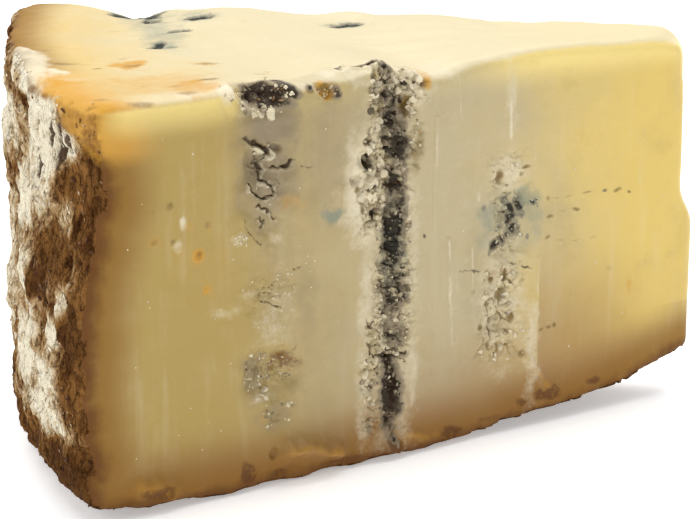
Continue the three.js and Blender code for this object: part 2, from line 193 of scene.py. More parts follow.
# Small dark specks beside the third vein
NEAR_SPECKS = rows(
    Spot,
    (22.5, 31.6, 0.35, 0.2, 0.5), (34.7, 31.6, 0.45, 0.35, 0.85), (33.9, 31.0, 0.25, 0.25, 0.5),
    (36.8, 27.3, 0.45, 0.35, 0.65), (35.6, 27.1, 0.4, 0.45, 0.62), (42.7, 31.8, 0.45, 0.5, 0.5),
    (52.4, 29.6, 0.24, 0.26, 0.85))
# Olive-brown pockets, dashes in rows from the third vein toward the point, and specks by the rind
NEAR_OLIVE = rows(
    Spot,
    (30.8, 31.7, 0.9, 0.18, 0.5), (28.8, 31.6, 0.9, 0.18, 0.58), (25.6, 31.6, 1.2, 0.2, 0.58),
    (22.5, 31.6, 0.45, 0.28, 0.9), (20.2, 31.3, 0.8, 0.3, 0.75), (18.3, 30.9, 0.4, 0.24, 0.8),
    (32.0, 31.7, 0.45, 0.4, 0.6), (27.5, 29.7, 0.65, 0.32, 0.8), (29.6, 29.6, 0.9, 0.18, 0.5),
    (31.8, 29.4, 0.7, 0.32, 0.75), (32.3, 26.4, 0.6, 0.26, 0.65), (30.1, 25.6, 1.0, 0.18, 0.55),
    (27.1, 25.4, 0.9, 0.16, 0.52), (24.1, 25.1, 0.9, 0.14, 0.45), (33.2, 13.6, 0.55, 0.26, 0.7),
    (31.9, 13.8, 0.7, 0.28, 0.72), (30.7, 14.0, 0.5, 0.36, 0.85), (21.4, 20.5, 0.8, 0.6, 0.4),
    (40.1, 35.9, 0.5, 0.9, 0.85), (36.2, 36.7, 0.8, 0.3, 0.8), (36.9, 35.7, 0.5, 0.5, 0.65),
    (39.2, 22.3, 0.45, 1.1, 1.0), (41.3, 21.7, 0.5, 0.6, 0.85), (39.6, 19.5, 1.0, 1.5, 0.8),
    (42.0, 18.8, 0.45, 0.5, 1.0), (38.1, 16.2, 0.5, 1.0, 0.9), (43.3, 15.7, 0.5, 0.5, 1.0),
    (39.0, 14.1, 0.6, 0.35, 0.8), (36.3, 10.9, 0.6, 0.7, 0.75), (36.5, 21.1, 0.7, 0.5, 0.6),
    (74.0, 15.6, 2.4, 1.6, 0.3), (67.0, 50.7, 1.4, 0.5, 0.8), (69.6, 50.8, 0.7, 0.5, 1.0),
    (92.2, 34.7, 0.6, 0.5, 0.6), (89.5, 34.3, 0.5, 0.5, 0.7), (84.6, 35.8, 0.5, 0.5, 0.7),
    (90.0, 39.0, 0.5, 0.5, 0.7), (92.3, 38.4, 0.6, 0.4, 0.6), (52.6, 50.2, 0.8, 1.1, 0.95),
    (44.5, 20.8, 0.5, 0.6, 0.45), (40.3, 12.1, 0.5, 0.8, 0.75), (42.0, 12.8, 0.4, 0.6, 0.7),
    (62.9, 37.0, 0.5, 0.4, 0.9), (62.1, 34.3, 0.5, 0.6, 0.75), (60.2, 33.4, 0.7, 0.8, 0.8),
    (55.1, 46.9, 1.1, 1.5, 1.2), (54.0, 40.6, 0.9, 1.8, 0.6), (53.1, 41.8, 0.8, 2.0, 0.66),
    (54.0, 38.8, 0.9, 1.2, 0.55), (55.2, 16.8, 0.9, 1.2, 0.6), (55.4, 21.4, 0.9, 0.9, 0.6),
    (61.0, 18.8, 0.6, 0.6, 0.65), (60.6, 15.4, 0.4, 1.2, 0.65))
# Blue-green bloom
NEAR_BLUE = rows(
    Spot,
    (38.6, 29.6, 5.4, 4.8, 0.48), (42.0, 30.4, 2.2, 2.0, 0.7), (43.0, 27.4, 2.0, 2.0, 0.45),
    (35.6, 32.6, 2.2, 2.0, 0.78), (35.0, 30.2, 2.2, 2.2, 0.66), (35.8, 27.0, 2.6, 2.2, 0.46),
    (66.9, 34.7, 1.1, 0.9, 0.95), (64.9, 35.0, 1.4, 0.6, 0.5), (57.0, 27.5, 1.8, 5.0, 0.5),
    (56.8, 33.0, 1.6, 3.0, 0.35))
# Pale halo beside the veins and pale flecks, with painted highlights: a band along the top edge by the rind
# and a diagonal streak at mid-height on the rind's side of the face
NEAR_PALE_AND_HIGHLIGHTS = rows(
    Spot,
    (57.6, 27.0, 4.4, 46.0, 0.45), (61.6, 11.0, 1.6, 9.0, 0.5), (61.8, 37.0, 3.2, 8.0, 0.75),
    (61.4, 22.0, 1.4, 9.0, 0.5), (54.3, 12.0, 1.0, 7.0, 0.45), (54.4, 29.0, 1.2, 6.0, 0.5),
    (54.6, 49.5, 3.4, 3.6, 0.55), (39.5, 19.0, 4.4, 10.0, 0.52), (38.8, 36.0, 3.4, 3.0, 0.5),
    (38.9, 29.5, 2.0, 3.2, 0.4), (38.6, 46.0, 1.2, 5.0, 0.4), (77.0, 53.2, 5.0, 1.1, 0.8),
    (81.0, 51.4, 1.2, 1.6, 0.8), (77.2, 48.6, 2.6, 0.7, 0.6), (66.0, 52.6, 4.0, 0.8, 0.6),
    # Painted highlights: the band at 88.0 on the top edge and the streak at 82.6
    (88.0, 52.2, 5.0, 1.0, 0.65), (82.6, 24.2, 2.8, 0.8, 0.42), (77.0, 12.2, 1.8, 0.8, 0.5),
    (80.1, 33.0, 1.3, 1.0, 0.42), (74.9, 32.6, 0.8, 1.0, 0.38), (79.2, 25.7, 1.6, 0.8, 0.4),
    (88.0, 36.4, 0.6, 0.9, 0.75), (88.8, 33.9, 0.5, 0.9, 0.55), (75.5, 22.4, 3.6, 4.0, 0.4),
    (66.0, 36.6, 2.0, 2.0, 0.3), (62.4, 51.0, 2.4, 1.0, 0.5), (48.5, 50.6, 3.0, 1.4, 0.45),
    (47.0, 34.0, 4.0, 22.0, 0.18), (34.6, 11.0, 1.4, 9.0, 0.5))
# Grey cast of the first vein and of the paste beside the others
NEAR_GREY = rows(
    Spot,
    (76.0, 46.6, 4.6, 3.6, 0.95), (75.8, 40.5, 4.4, 6.5, 0.85), (75.0, 27.0, 4.6, 6.5, 0.36),
    (70.6, 24.0, 2.0, 7.0, 0.36), (77.8, 15.2, 2.0, 3.2, 0.66), (75.0, 9.6, 2.8, 2.2, 0.5),
    (68.0, 43.0, 6.5, 11.0, 0.4), (68.0, 16.0, 7.0, 12.0, 0.22), (63.0, 50.0, 2.5, 2.5, 0.35),
    (44.0, 23.0, 2.4, 9.0, 0.3), (30.5, 28.0, 4.0, 6.5, 0.26))
# Orange and brown stains
NEAR_STAIN = rows(
    Spot,
    (86.2, 32.0, 0.9, 0.8, 0.9), (84.9, 27.6, 0.7, 0.6, 0.75), (87.5, 35.8, 0.8, 1.2, 0.4),
    (92.2, 34.7, 0.8, 0.5, 0.4), (84.6, 35.2, 0.6, 1.6, 0.4), (86.5, 31.0, 6.0, 6.0, 0.24),
    (66.9, 50.0, 1.5, 0.9, 0.8), (52.2, 49.9, 0.9, 1.0, 0.75), (56.8, 2.4, 0.8, 1.8, 0.6),
    (74.8, 50.4, 2.8, 1.3, 0.7), (60.6, 40.4, 0.8, 1.0, 0.6), (57.2, 8.0, 0.9, 5.5, 0.7),
    (73.0, 36.8, 2.2, 1.3, 0.42), (77.0, 9.4, 1.2, 0.8, 0.3), (17.5, 17.3, 0.5, 1.0, 0.5))
# Dark brown bits along the foot of the shown face, and brown pockets in two of its veins
NEAR_EARTH = rows(
    Spot,
    (52.8, 50.1, 0.7, 1.0, 0.8), (73.7, 15.8, 2.5, 1.7, 0.6), (92.6, 2.6, 2.6, 1.4, 0.75),
    (79.5, 2.4, 1.3, 2.0, 0.75), (74.7, 1.5, 1.6, 0.9, 0.7), (65.0, 1.2, 3.4, 0.8, 0.7),
    (57.2, 1.6, 1.4, 1.6, 0.8), (48.0, 1.8, 2.2, 1.3, 0.75), (42.0, 2.4, 3.0, 0.8, 0.6),
    (86.0, 0.8, 4.0, 0.8, 0.6), (31.6, 4.4, 2.8, 1.1, 0.8), (36.0, 3.8, 1.6, 0.8, 0.7),
    (23.6, 4.6, 2.0, 0.8, 0.7))
# Torn cracks of the first vein and slits beside the others
NEAR_CRACKS = (
    Line(((79.1, 45.8), (78.5, 45.1), (77.8, 44.9)), 0.14, 0.5),
    Line(((77.8, 44.9), (76.9, 44.6), (76.2, 44.2)), 0.24, 0.9),
    Line(((76.5, 44.4), (75.8, 43.9), (75.7, 43.4)), 0.28, 1.1),
    Line(((75.7, 43.4), (76.3, 42.9), (76.7, 42.3), (76.6, 41.3)), 0.16, 0.7),
    Line(((75.6, 41.7), (74.6, 41.4), (73.4, 41.5), (72.5, 42.2)), 0.16, 0.7),
    Line(((77.0, 42.3), (76.7, 41.3), (77.3, 40.5), (76.4, 40.0)), 0.18, 0.7),
    Line(((77.3, 40.5), (76.5, 40.0), (75.8, 39.6), (75.6, 38.7)), 0.14, 0.6),
    Line(((78.9, 40.1), (78.6, 39.3), (77.6, 38.3), (76.9, 38.2), (75.6, 38.2)), 0.14, 0.7),
    Line(((77.5, 37.1), (76.5, 36.7), (75.6, 36.1), (75.0, 35.1)), 0.13, 0.6),
    Line(((77.0, 35.4), (76.6, 34.6), (76.9, 34.1)), 0.11, 0.5),
    Line(((76.5, 34.6), (76.1, 35.0)), 0.09, 0.4),
    Line(((77.6, 43.9), (77.0, 43.0), (77.4, 42.2)), 0.10, 0.4),
    Line(((78.4, 42.0), (77.7, 41.5), (77.0, 41.6)), 0.09, 0.4),
    Line(((75.0, 40.3), (74.4, 39.6), (74.7, 38.8)), 0.07, 0.3),
    Line(((79.4, 35.5), (78.8, 33.8), (78.1, 33.0), (77.1, 32.2)), 0.07, 0.25),
    Line(((71.3, 41.4), (70.5, 41.0), (69.7, 40.9)), 0.06, 0.15),
    Line(((77.2, 24.9), (76.0, 24.5), (74.1, 23.4)), 0.08, 0.35),
    Line(((76.8, 26.6), (75.4, 26.4)), 0.06, 0.3),
    Line(((76.9, 25.7), (75.2, 25.5)), 0.05, 0.3),
    Line(((72.6, 28.2), (71.2, 28.6)), 0.07, 0.25),
    Line(((64.9, 52.7), (62.2, 53.0), (60.3, 52.9), (58.3, 52.5)), 0.26, 0.7),
    Line(((61.2, 37.0), (60.0, 37.0), (58.2, 36.8), (55.9, 37.1)), 0.20, 0.8),
    Line(((57.9, 41.3), (57.6, 40.0), (56.8, 38.8), (55.7, 38.6)), 0.12, 0.5),
    Line(((60.2, 14.4), (58.8, 14.0), (57.0, 14.1), (55.4, 14.3)), 0.17, 0.6),
    Line(((61.4, 20.1), (60.9, 18.8), (60.4, 18.2)), 0.12, 0.5),
    Line(((61.2, 16.6), (60.7, 15.4), (60.2, 14.6)), 0.12, 0.5),
    Line(((61.3, 11.6), (60.9, 10.6), (60.1, 10.3)), 0.12, 0.5),
    Line(((47.3, 24.0), (45.3, 23.8), (43.1, 23.3)), 0.07, 0.15),
    Line(((38.6, 23.8), (36.5, 23.1), (34.9, 22.5)), 0.08, 0.15),
)
# Thin raised lines that the knife dragged
NEAR_DRAGS = (
    Line(((48.6, 28.6), (48.4, 20.0), (48.1, 14.4), (47.6, 14.5)), 0.22, 0.24),
    Line(((48.4, 19.4), (48.1, 14.4)), 0.30, 0.34),
    Line(((50.8, 45.0), (50.8, 39.0)), 0.24, 0.22),
    Line(((47.2, 51.6), (47.1, 44.0)), 0.18, 0.10),
    Line(((39.2, 51.4), (38.8, 41.0)), 0.30, 0.16),
    Line(((44.2, 46.0), (43.8, 33.0)), 0.16, 0.08),
    Line(((44.8, 27.0), (44.7, 21.0)), 0.16, 0.08),
    Line(((33.7, 23.8), (33.9, 17.0), (33.9, 9.4)), 0.28, 0.20),
)
# Soft folds pushed up along the foot
NEAR_FOLDS = (
    Line(((73.6, 4.3), (71.7, 4.9), (69.0, 4.0), (66.4, 2.8)), 1.0, 1.5),
    Line(((35.0, 10.2), (33.4, 7.4), (30.6, 5.0)), 0.6, 0.4),
    Line(((94.5, 3.6), (92.6, 3.6), (90.6, 2.2)), 1.4, 0.8),
    Line(((55.5, 2.6), (53.0, 2.4), (50.0, 1.6)), 1.0, 0.4),
)
# Mould of the top, and the blue-green haze round it, as places in plan from the wheel's axis
TOP_MOULD = rows(
    Spot,
    (-80.4, 25.8, 2.4, 2.2, 1.0), (-78.0, 24.0, 1.4, 3.0, 0.75), (-78.7, 19.0, 1.2, 2.4, 0.95),
    (-71.4, 17.2, 1.6, 1.6, 0.95), (-76.6, 9.2, 2.0, 0.8, 0.85), (-79.9, 1.0, 1.1, 2.2, 1.1),
    (-53.2, 10.0, 2.0, 1.6, 0.9), (-59.2, 25.0, 1.4, 1.4, 0.75))
TOP_HAZE = rows(
    Spot,
    (-78.6, 10.0, 3.0, 14.0, 0.6), (-79.0, 23.0, 4.0, 6.0, 0.6), (-72.0, 17.6, 3.0, 4.0, 0.55),
    (-79.9, 1.0, 2.4, 4.0, 0.7), (-53.0, 10.0, 3.4, 3.0, 0.5))
# Orange stains, olive-brown dashes and pale places of the top
TOP_STAIN = rows(
    Spot,
    (-85.6, -9.2, 2.0, 2.2, 1.1), (-76.3, -12.0, 2.2, 1.2, 0.6), (-80.4, -24.4, 4.0, 4.0, 0.6),
    (-80.0, -21.5, 1.6, 1.6, 0.85), (-84.0, -21.0, 9.0, 7.0, 0.44), (-92.0, -24.0, 5.0, 10.0, 0.3),
    (-69.0, -16.4, 1.2, 1.2, 0.45), (-94.6, -17.9, 1.2, 1.4, 0.75), (-90.5, -31.5, 5.0, 2.2, 0.6))
TOP_OLIVE = rows(
    Spot,
    (-94.1, -8.1, 2.4, 0.8, 0.7), (-92.4, -8.6, 2.0, 0.5, 0.5), (-95.7, -0.7, 1.6, 0.7, 0.6),
    (-87.6, -30.5, 2.0, 0.9, 0.62), (-92.4, -28.6, 1.6, 0.8, 0.55), (-93.8, -31.2, 1.4, 0.7, 0.55),
    (-76.3, -12.0, 2.0, 0.7, 0.6), (-77.9, -20.9, 1.4, 0.6, 0.8), (-81.5, -26.8, 1.4, 0.8, 0.6),
    (-82.0, -22.6, 1.2, 0.6, 0.55), (-85.4, -10.0, 1.2, 0.6, 0.6), (-70.5, -16.9, 1.2, 0.5, 0.5),
    (-66.8, 12.0, 1.0, 0.6, 0.4), (-84.4, 13.4, 1.0, 0.7, 0.4))
TOP_PALE = rows(
    Spot,
    (-98.0, -6.0, 2.0, 4.5, 0.9), (-98.6, -13.0, 2.4, 5.5, 0.9), (-95.6, -13.0, 1.4, 2.6, 0.6),
    (-93.0, -17.0, 2.4, 1.2, 0.4))
# Cottony lump on the rim of the top
TOP_LUMPS = (
    Line(((-98.4, -3.0), (-97.8, -8.0), (-98.6, -13.0), (-100.4, -19.0)), 2.0, 0.9),
    Line(((-98.0, -9.0), (-95.2, -13.6)), 1.2, 0.4),
)
# Whitish powder and dark earth of the rind, by angle round the wheel in degrees and height
RIND_POWDER = rows(
    Spot,
    (-11.0, 48.5, 3.6, 4.0, 0.95), (-16.0, 46.4, 2.2, 2.2, 1.15), (-10.5, 43.0, 4.0, 4.0, 1.2),
    (-7.0, 38.5, 3.6, 5.0, 1.05), (-5.0, 36.0, 3.0, 4.5, 1.0), (-15.0, 37.6, 1.6, 2.0, 0.55),
    (-6.4, 27.5, 2.4, 4.0, 1.0), (-16.0, 27.0, 1.4, 2.2, 0.75), (-9.6, 22.0, 2.4, 2.6, 1.0),
    (-15.2, 22.0, 2.0, 2.2, 0.75), (-8.0, 17.0, 3.8, 4.0, 1.1), (-14.8, 16.6, 2.4, 2.8, 1.1),
    (-15.0, 12.0, 3.4, 2.4, 1.1), (-11.0, 11.6, 3.0, 2.4, 0.95), (1.0, 44.0, 5.0, 5.0, 0.8),
    (4.0, 24.0, 5.0, 8.0, 0.8), (12.0, 36.0, 5.0, 7.0, 0.8), (13.0, 14.0, 4.0, 6.0, 0.7))
RIND_EARTH = rows(
    Spot,
    (-19.2, 40.0, 1.3, 12.0, 0.75), (-16.5, 41.5, 2.0, 2.2, 0.6), (-13.6, 33.4, 2.4, 2.6, 0.6),
    (-13.0, 30.8, 3.8, 3.0, 0.75), (-11.2, 27.0, 2.6, 2.6, 0.9), (-12.4, 22.6, 1.0, 1.4, 0.6),
    (-18.4, 23.0, 1.6, 5.0, 1.05), (-18.6, 14.0, 1.4, 5.0, 0.6), (-18.0, 5.2, 5.4, 4.0, 1.4),
    (-7.0, 4.0, 6.0, 3.0, 0.9), (-6.4, 50.4, 2.2, 1.8, 1.0), (8.0, 6.0, 9.0, 3.5, 0.7),
    (8.0, 47.0, 4.0, 4.0, 0.6), (19.0, 26.0, 1.6, 24.0, 0.8))
# Holes in the rind, by angle and height; amount is the depth in millimetres
RIND_HOLES = rows(
    Spot,
    (-12.6, 46.5, 0.45, 1.7, 1.3), (-14.6, 45.6, 0.5, 2.4, 1.5), (-9.0, 42.0, 0.4, 2.4, 0.9),
    (-16.4, 46.5, 0.4, 1.2, 0.9), (-17.6, 37.0, 0.4, 1.6, 0.9), (-16.2, 33.0, 0.4, 1.8, 0.8),
    (3.0, 38.0, 0.6, 1.8, 1.0), (9.0, 20.0, 0.6, 1.6, 1.0))
# Heaps of loose crumbs in the shown face's veins
NEAR_HEAPS = rows(
    Heap,
    (56.9, 49.8, 4.0, 1.5, 0.4, 1.5, 64, 0.2, 0.45), (54.2, 49.4, 1.6, 1.9, 0.5, 1.6, 18, 0.0, 0.25),
    (59.4, 48.6, 1.8, 2.2, 0.4, 1.2, 22, 0.1, 0.6), (56.8, 46.5, 1.7, 2.4, 0.25, 0.8, 40, 0.5, 0.46),
    (53.9, 46.6, 0.6, 0.8, 0.9, 1.7, 5, 0.0, 0.0), (54.0, 43.6, 1.0, 2.4, 0.3, 0.9, 14, 0.0, 0.55, 0.45),
    (56.1, 42.0, 1.6, 2.8, 0.2, 0.6, 44, 0.6, 0.38), (59.1, 44.9, 0.7, 0.7, 1.2, 2.2, 4, 0.0, 0.3),
    (60.6, 43.8, 1.2, 1.2, 0.6, 1.5, 12, 0.0, 0.3), (59.8, 41.8, 1.4, 1.6, 0.4, 1.3, 18, 0.05, 0.4),
    (58.8, 39.8, 0.4, 0.5, 1.0, 1.7, 3, 0.0, 0.0), (59.6, 38.2, 1.8, 1.8, 0.5, 1.6, 22, 0.04, 0.45),
    (56.2, 39.2, 0.8, 0.8, 0.8, 1.8, 5, 0.0, 0.9), (56.6, 37.6, 1.6, 1.8, 0.3, 1.0, 20, 0.25, 0.7),
    (59.8, 34.6, 1.5, 2.0, 0.4, 1.5, 20, 0.05, 0.4), (56.8, 34.6, 1.6, 2.0, 0.25, 0.8, 26, 0.45, 0.53),
    (57.0, 30.0, 1.4, 3.2, 0.2, 0.6, 44, 0.75, 0.24, 0.0, 0.25),
    (59.0, 29.8, 0.7, 3.2, 0.3, 1.0, 20, 0.05, 0.5), (55.4, 30.6, 0.6, 2.6, 0.3, 0.9, 14, 0.0, 0.5),
    (57.4, 24.4, 2.4, 3.0, 0.2, 0.8, 80, 0.14, 0.66), (57.6, 18.6, 2.9, 4.4, 0.25, 1.0, 130, 0.06, 0.62),
    (57.4, 13.0, 2.2, 1.8, 0.25, 0.8, 30, 0.4, 0.44), (60.5, 12.0, 1.4, 3.0, 0.4, 1.3, 26, 0.0, 0.34),
    (57.4, 8.6, 1.5, 3.4, 0.2, 0.7, 36, 0.8, 0.2, 0.3), (60.9, 6.8, 1.2, 2.6, 0.3, 0.9, 14, 0.0, 0.4),
    (75.2, 50.2, 2.8, 1.1, 0.25, 0.8, 46, 0.88, 0.06, 0.3), (77.0, 48.7, 2.2, 0.5, 0.5, 1.4, 18, 0.0, 0.1),
    (79.4, 50.4, 0.8, 1.3, 0.3, 0.9, 16, 0.0, 0.25), (72.7, 51.0, 0.8, 1.0, 0.3, 0.9, 12, 0.0, 0.3),
    (80.6, 51.4, 1.0, 0.8, 0.3, 0.7, 10, 0.0, 0.1), (66.8, 50.0, 1.7, 0.8, 0.2, 0.6, 26, 0.3, 0.25, 0.7),
    (77.4, 15.4, 2.2, 2.6, 0.2, 0.7, 70, 0.0, 0.5, 0.06),
    (73.6, 15.4, 2.4, 1.8, 0.15, 0.5, 40, 0.05, 0.3, 0.35),
    (77.0, 12.4, 1.2, 0.6, 0.4, 1.1, 9, 0.0, 0.0), (74.9, 9.7, 2.3, 1.7, 0.25, 0.8, 24, 0.05, 0.55),
    (76.0, 26.2, 4.0, 1.8, 0.2, 0.6, 26, 0.0, 0.2), (72.6, 28.8, 3.6, 2.4, 0.15, 0.45, 22, 0.0, 0.0),
    (75.4, 21.6, 2.4, 1.6, 0.15, 0.4, 10, 0.0, 0.0), (80.1, 33.0, 1.0, 0.8, 0.2, 0.6, 16, 0.0, 0.1),
    (76.4, 40.6, 2.0, 4.6, 0.2, 0.6, 20, 0.0, 0.6), (38.6, 29.6, 1.9, 4.2, 0.2, 0.7, 60, 0.1, 0.3, 0.0, 0.6),
    (34.8, 31.4, 0.8, 0.9, 0.2, 0.5, 8, 0.35, 0.25, 0.0, 0.6),
    (39.9, 19.6, 2.8, 4.4, 0.3, 1.1, 60, 0.0, 0.08, 0.1),
    (39.2, 12.8, 4.2, 2.6, 0.25, 0.9, 34, 0.0, 0.08, 0.1), (39.4, 36.2, 2.4, 1.8, 0.25, 0.8, 14, 0.0, 0.2))


def linear(red, green, blue):
    """Colour for a socket from the eight-bit numbers seen on a screen."""
    def ease(value):
        share = value / 255
        return share / 12.92 if share <= 0.04045 else ((share + 0.055) / 1.055) ** 2.4
    return (ease(red), ease(green), ease(blue), 1.0)


def colour(name, description, *screen):
    return FloatVectorProperty(
        name=name, description=description, subtype="COLOR", size=4, min=0.0, max=1.0,
        default=linear(*screen))


def length(name, description, default):
    return FloatProperty(name=name, description=description, default=default, unit="LENGTH")


def angle(name, description, degrees):
    return FloatProperty(name=name, description=description, default=math.radians(degrees), subtype="ANGLE")


def power(name, description, default):
    return FloatProperty(name=name, description=description, default=default, subtype="POWER")


def number(name, description, default):
    return IntProperty(name=name, description=description, default=default, min=0)


class CheeseSizes(bpy.types.PropertyGroup):
    """Sizes of the wedge's surface detail."""
    half_angle: angle("Half angle", "Half of the wedge's angle at the wheel's axis", 20.0)
    wheel_radius: length("Wheel radius", "Distance from the wheel's axis to the rind", WHEEL_RADIUS * MM)
    axis_gap: length("Axis gap", "How far the wheel's axis lies beyond the blunt point", 0.00565)
    axis_side: length("Axis side", "Sideways place of the wheel's axis", 0.00051)
    rind_crag: length("Rind crag", "Height of the rind's small crags", 0.0005)
    foot_wear: length("Foot wear", "How far the lower edge is worn away", 0.0007)
    seed: number("Seed", "Seed of every random draw", 11)
    rind_flakes: number("Rind flakes", "Number of flakes on the rind", 1000)
    white_specks: number("White specks", "Number of white specks in the paste", 60)


class CheeseColours(bpy.types.PropertyGroup):
    """Colours of the paste, the rind and the mould."""
    paste: colour("Paste", "Waxy paste in the middle of the cut faces", 192, 176, 137)
    paste_rind: colour("Paste by the rind", "Olive-yellow paste toward the rind", 176, 149, 78)
    # Golden paste at the point: its own tint, partly painted light that shines through the thin point
    golden_paste_and_glow: colour("Paste at the point", "Golden paste toward the point", 227, 197, 106)
    paste_top: colour("Paste of the top", "Pale paste of the top", 222, 208, 168)
    paste_brim: colour("Paste of the brim", "Yellower paste of the top toward the rind", 222, 188, 106)
    # Painted light: the paste just under the top edge, brightened where light shines through the rounded
    # edge
    painted_glow: colour("Bright edge", "Bright paste just under the top edge", 251, 226, 142)
    grey: colour("Grey cast", "Greyed paste around the veins", 138, 123, 96)
    # Also the colour of the painted highlights on the crack lips, on the top edge and in a streak on the
    # face
    pale: colour("Pale crumb", "Cream crumbs and halo of the veins", 226, 214, 184)
    mould: colour("Mould", "Dark mould in the clefts", 52, 43, 32)
    mould_brown: colour("Brown mould", "Dark mould where the paste is stained", 52, 34, 17)
    mould_green: colour("Green mould", "Dark mould where the paste has a blue-green bloom", 28, 40, 31)
    mould_grey: colour("Grey mould", "Lighter crumbs within the mould", 148, 134, 111)
    # Painted shade: the brown inside the cracks
    crack: colour("Crack", "Brown shade inside the cracks", 74, 56, 34)
    olive: colour("Olive", "Olive-brown pockets", 124, 98, 40)
    blue: colour("Blue bloom", "Blue-green bloom", 124, 135, 120)
    stain: colour("Stain", "Orange-brown stains", 206, 150, 34)
    brown: colour("Brown paste", "Brown paste beside the rind", 140, 98, 24)
    # Brown foot: partly brown staining, partly painted contact shade
    foot: colour("Brown foot", "Brown paste along the foot", 146, 99, 36)
    gold: colour("Golden rind", "Golden-brown rind at the upper corner", 208, 154, 60)
    margin: colour("Margin", "Dark margin beside the crust, and the darkest stains", 98, 56, 12)
    crust: colour("Crust", "Brown crust of the rind", 138, 96, 50)
    # Darkest crust, also used for painted shade in the rind's crevices
    crust_dark: colour("Crust dark", "Deep crevices of the rind", 72, 42, 18)
    tan: colour("Tan", "Thinly powdered crust", 188, 158, 114)
    powder: colour("Powder", "Whitish powder on the rind", 242, 232, 206)
    floor: colour("Floor", "Pale studio floor", 250, 250, 250)


class StageSettings(bpy.types.PropertyGroup):
    """Camera and light."""
    focus: FloatVectorProperty(
        name="Focus", description="Point that the camera looks at", subtype="XYZ", unit="LENGTH",
        default=(-0.0005, 0.0032, 0.0212))
    distance: length("Distance", "Camera's distance from that point", 0.33)
    turn: angle("Turn", "Camera's turn about the upright axis", -13.77)
    dip: angle("Dip", "Angle at which the camera looks down", 15.5)
    lens: FloatProperty(
        name="Lens", description="Focal length for a picture 36 mm wide", default=123.4,
        subtype="DISTANCE_CAMERA")
    top_power: power("Top light", "Power of the overhead softbox", 6.5)
    left_power: power("Left light", "Power of the softbox on the rind's side", 3.0)
    point_power: power("Point light", "Power of the light behind the point", 1.0)
    air: FloatProperty(name="Air", description="Strength of the even light from all round", default=0.45)


# Fields over the surface, worked out for all points at once

def smooth(value, low, high):
    share = np.clip((value - low) / (high - low), 0, 1)
    return share * share * (3 - 2 * share)


def draw(first, second, third, seed):
    """Repeatable number from 0 to 1 for each lattice point."""
    mixed = (first * 374761393 + second * 668265263 + third * 1274126177 + seed * 974711) & 0xFFFFFFFF
    mixed = ((mixed ^ (mixed >> 13)) * 1103515245) & 0xFFFFFFFF
    mixed = ((mixed ^ (mixed >> 16)) * 668265263) & 0xFFFFFFFF
    return ((mixed >> 8) & 0xFFFF) / 0xFFFF


def grain(first, second, size, seed):
    """Smooth noise from -1 to 1 over two measures."""
    u, v = first / size, second / size
    iu, iv = np.floor(u).astype(np.int64), np.floor(v).astype(np.int64)
    fu, fv = u - iu, v - iv
    fu, fv = fu * fu * (3 - 2 * fu), fv * fv * (3 - 2 * fv)
    low = draw(iu, iv, 0, seed) * (1 - fu) + draw(iu + 1, iv, 0, seed) * fu
    high = draw(iu, iv + 1, 0, seed) * (1 - fu) + draw(iu + 1, iv + 1, 0, seed) * fu
    return 2 * (low * (1 - fv) + high * fv) - 1


def layered(first, second, size, seed, layers=3):
    """Noise with finer and weaker noise on it."""
    total, weight = 0, 0
    for layer in range(layers):
        share = 0.5 ** layer
        total = total + share * grain(first + 7.3 * layer, second - 3.1 * layer, size * share, seed + layer)
        weight += share
    return total / weight


Stones = namedtuple("Stones", "middle cleft height tone")


def stones(first, second, size, seed):
    """Broken stones side by side: distance from a stone's middle, clefts, and each one's height and tone."""
    u, v = first / size, second / size
    iu, iv = np.floor(u).astype(np.int64), np.floor(v).astype(np.int64)
    nearest = np.full(u.shape, 9.0)
    following = np.full(u.shape, 9.0)
    height = np.zeros(u.shape)
    tone = np.zeros(u.shape)
    for du in (-1, 0, 1):
        for dv in (-1, 0, 1):
            cell = iu + du, iv + dv
            off_u = cell[0] + draw(*cell, 1, seed) - u
            off_v = cell[1] + draw(*cell, 2, seed) - v
            away = np.hypot(off_u, off_v)
            closer = away < nearest
            following = np.where(closer, nearest, np.minimum(following, away))
            nearest = np.where(closer, away, nearest)
            tilt = (draw(*cell, 4, seed) - 0.5) * off_u + (draw(*cell, 5, seed) - 0.5) * off_v
            height = np.where(closer, draw(*cell, 3, seed) - 0.5 + 1.2 * tilt, height)
            tone = np.where(closer, draw(*cell, 6, seed), tone)
    return Stones(nearest, 1 - smooth(following - nearest, 0.0, 0.2), height, tone)


def rubble(at, up, seed):
    """Torn, crumbled paste: height in millimetres, clefts and tone."""
    bent_at = at + 0.8 * layered(at, up, 1.7, seed)
    bent_up = up + 0.8 * layered(at, up, 1.7, seed + 1)
    big = stones(bent_at, bent_up, 1.8, seed + 2)
    small = stones(bent_at, bent_up, 0.8, seed + 3)
    wide_cleft = big.cleft * smooth(layered(at, up, 2.6, seed + 5), -0.25, 0.35)
    fine_cleft = small.cleft * smooth(grain(at, up, 1.4, seed + 6), -0.1, 0.5)
    height = 0.8 * big.height + 0.45 * small.height + 0.35 * layered(at, up, 0.9, seed + 4)
    stained = np.clip(0.5 + 0.9 * layered(at, up, 1.3, seed + 7), 0, 1)
    tone = 0.3 * big.tone + 0.25 * small.tone + 0.45 * stained
    return height, np.maximum(wide_cleft, 0.6 * fine_cleft), tone


def spots(first, second, places, ragged, seed, steep=1.5):
    """Strongest of a set of soft spots with ragged outlines."""
    first = first + ragged * layered(first, second, 1.6, seed)
    second = second + ragged * layered(first, second, 1.6, seed + 5)
    total = np.zeros(first.shape)
    for place in places:
        reach = ((first - place.at) / place.wide) ** 2 + ((second - place.up) / place.tall) ** 2
        total = np.maximum(total, place.amount * np.exp(-0.7 * reach ** steep))
    return total


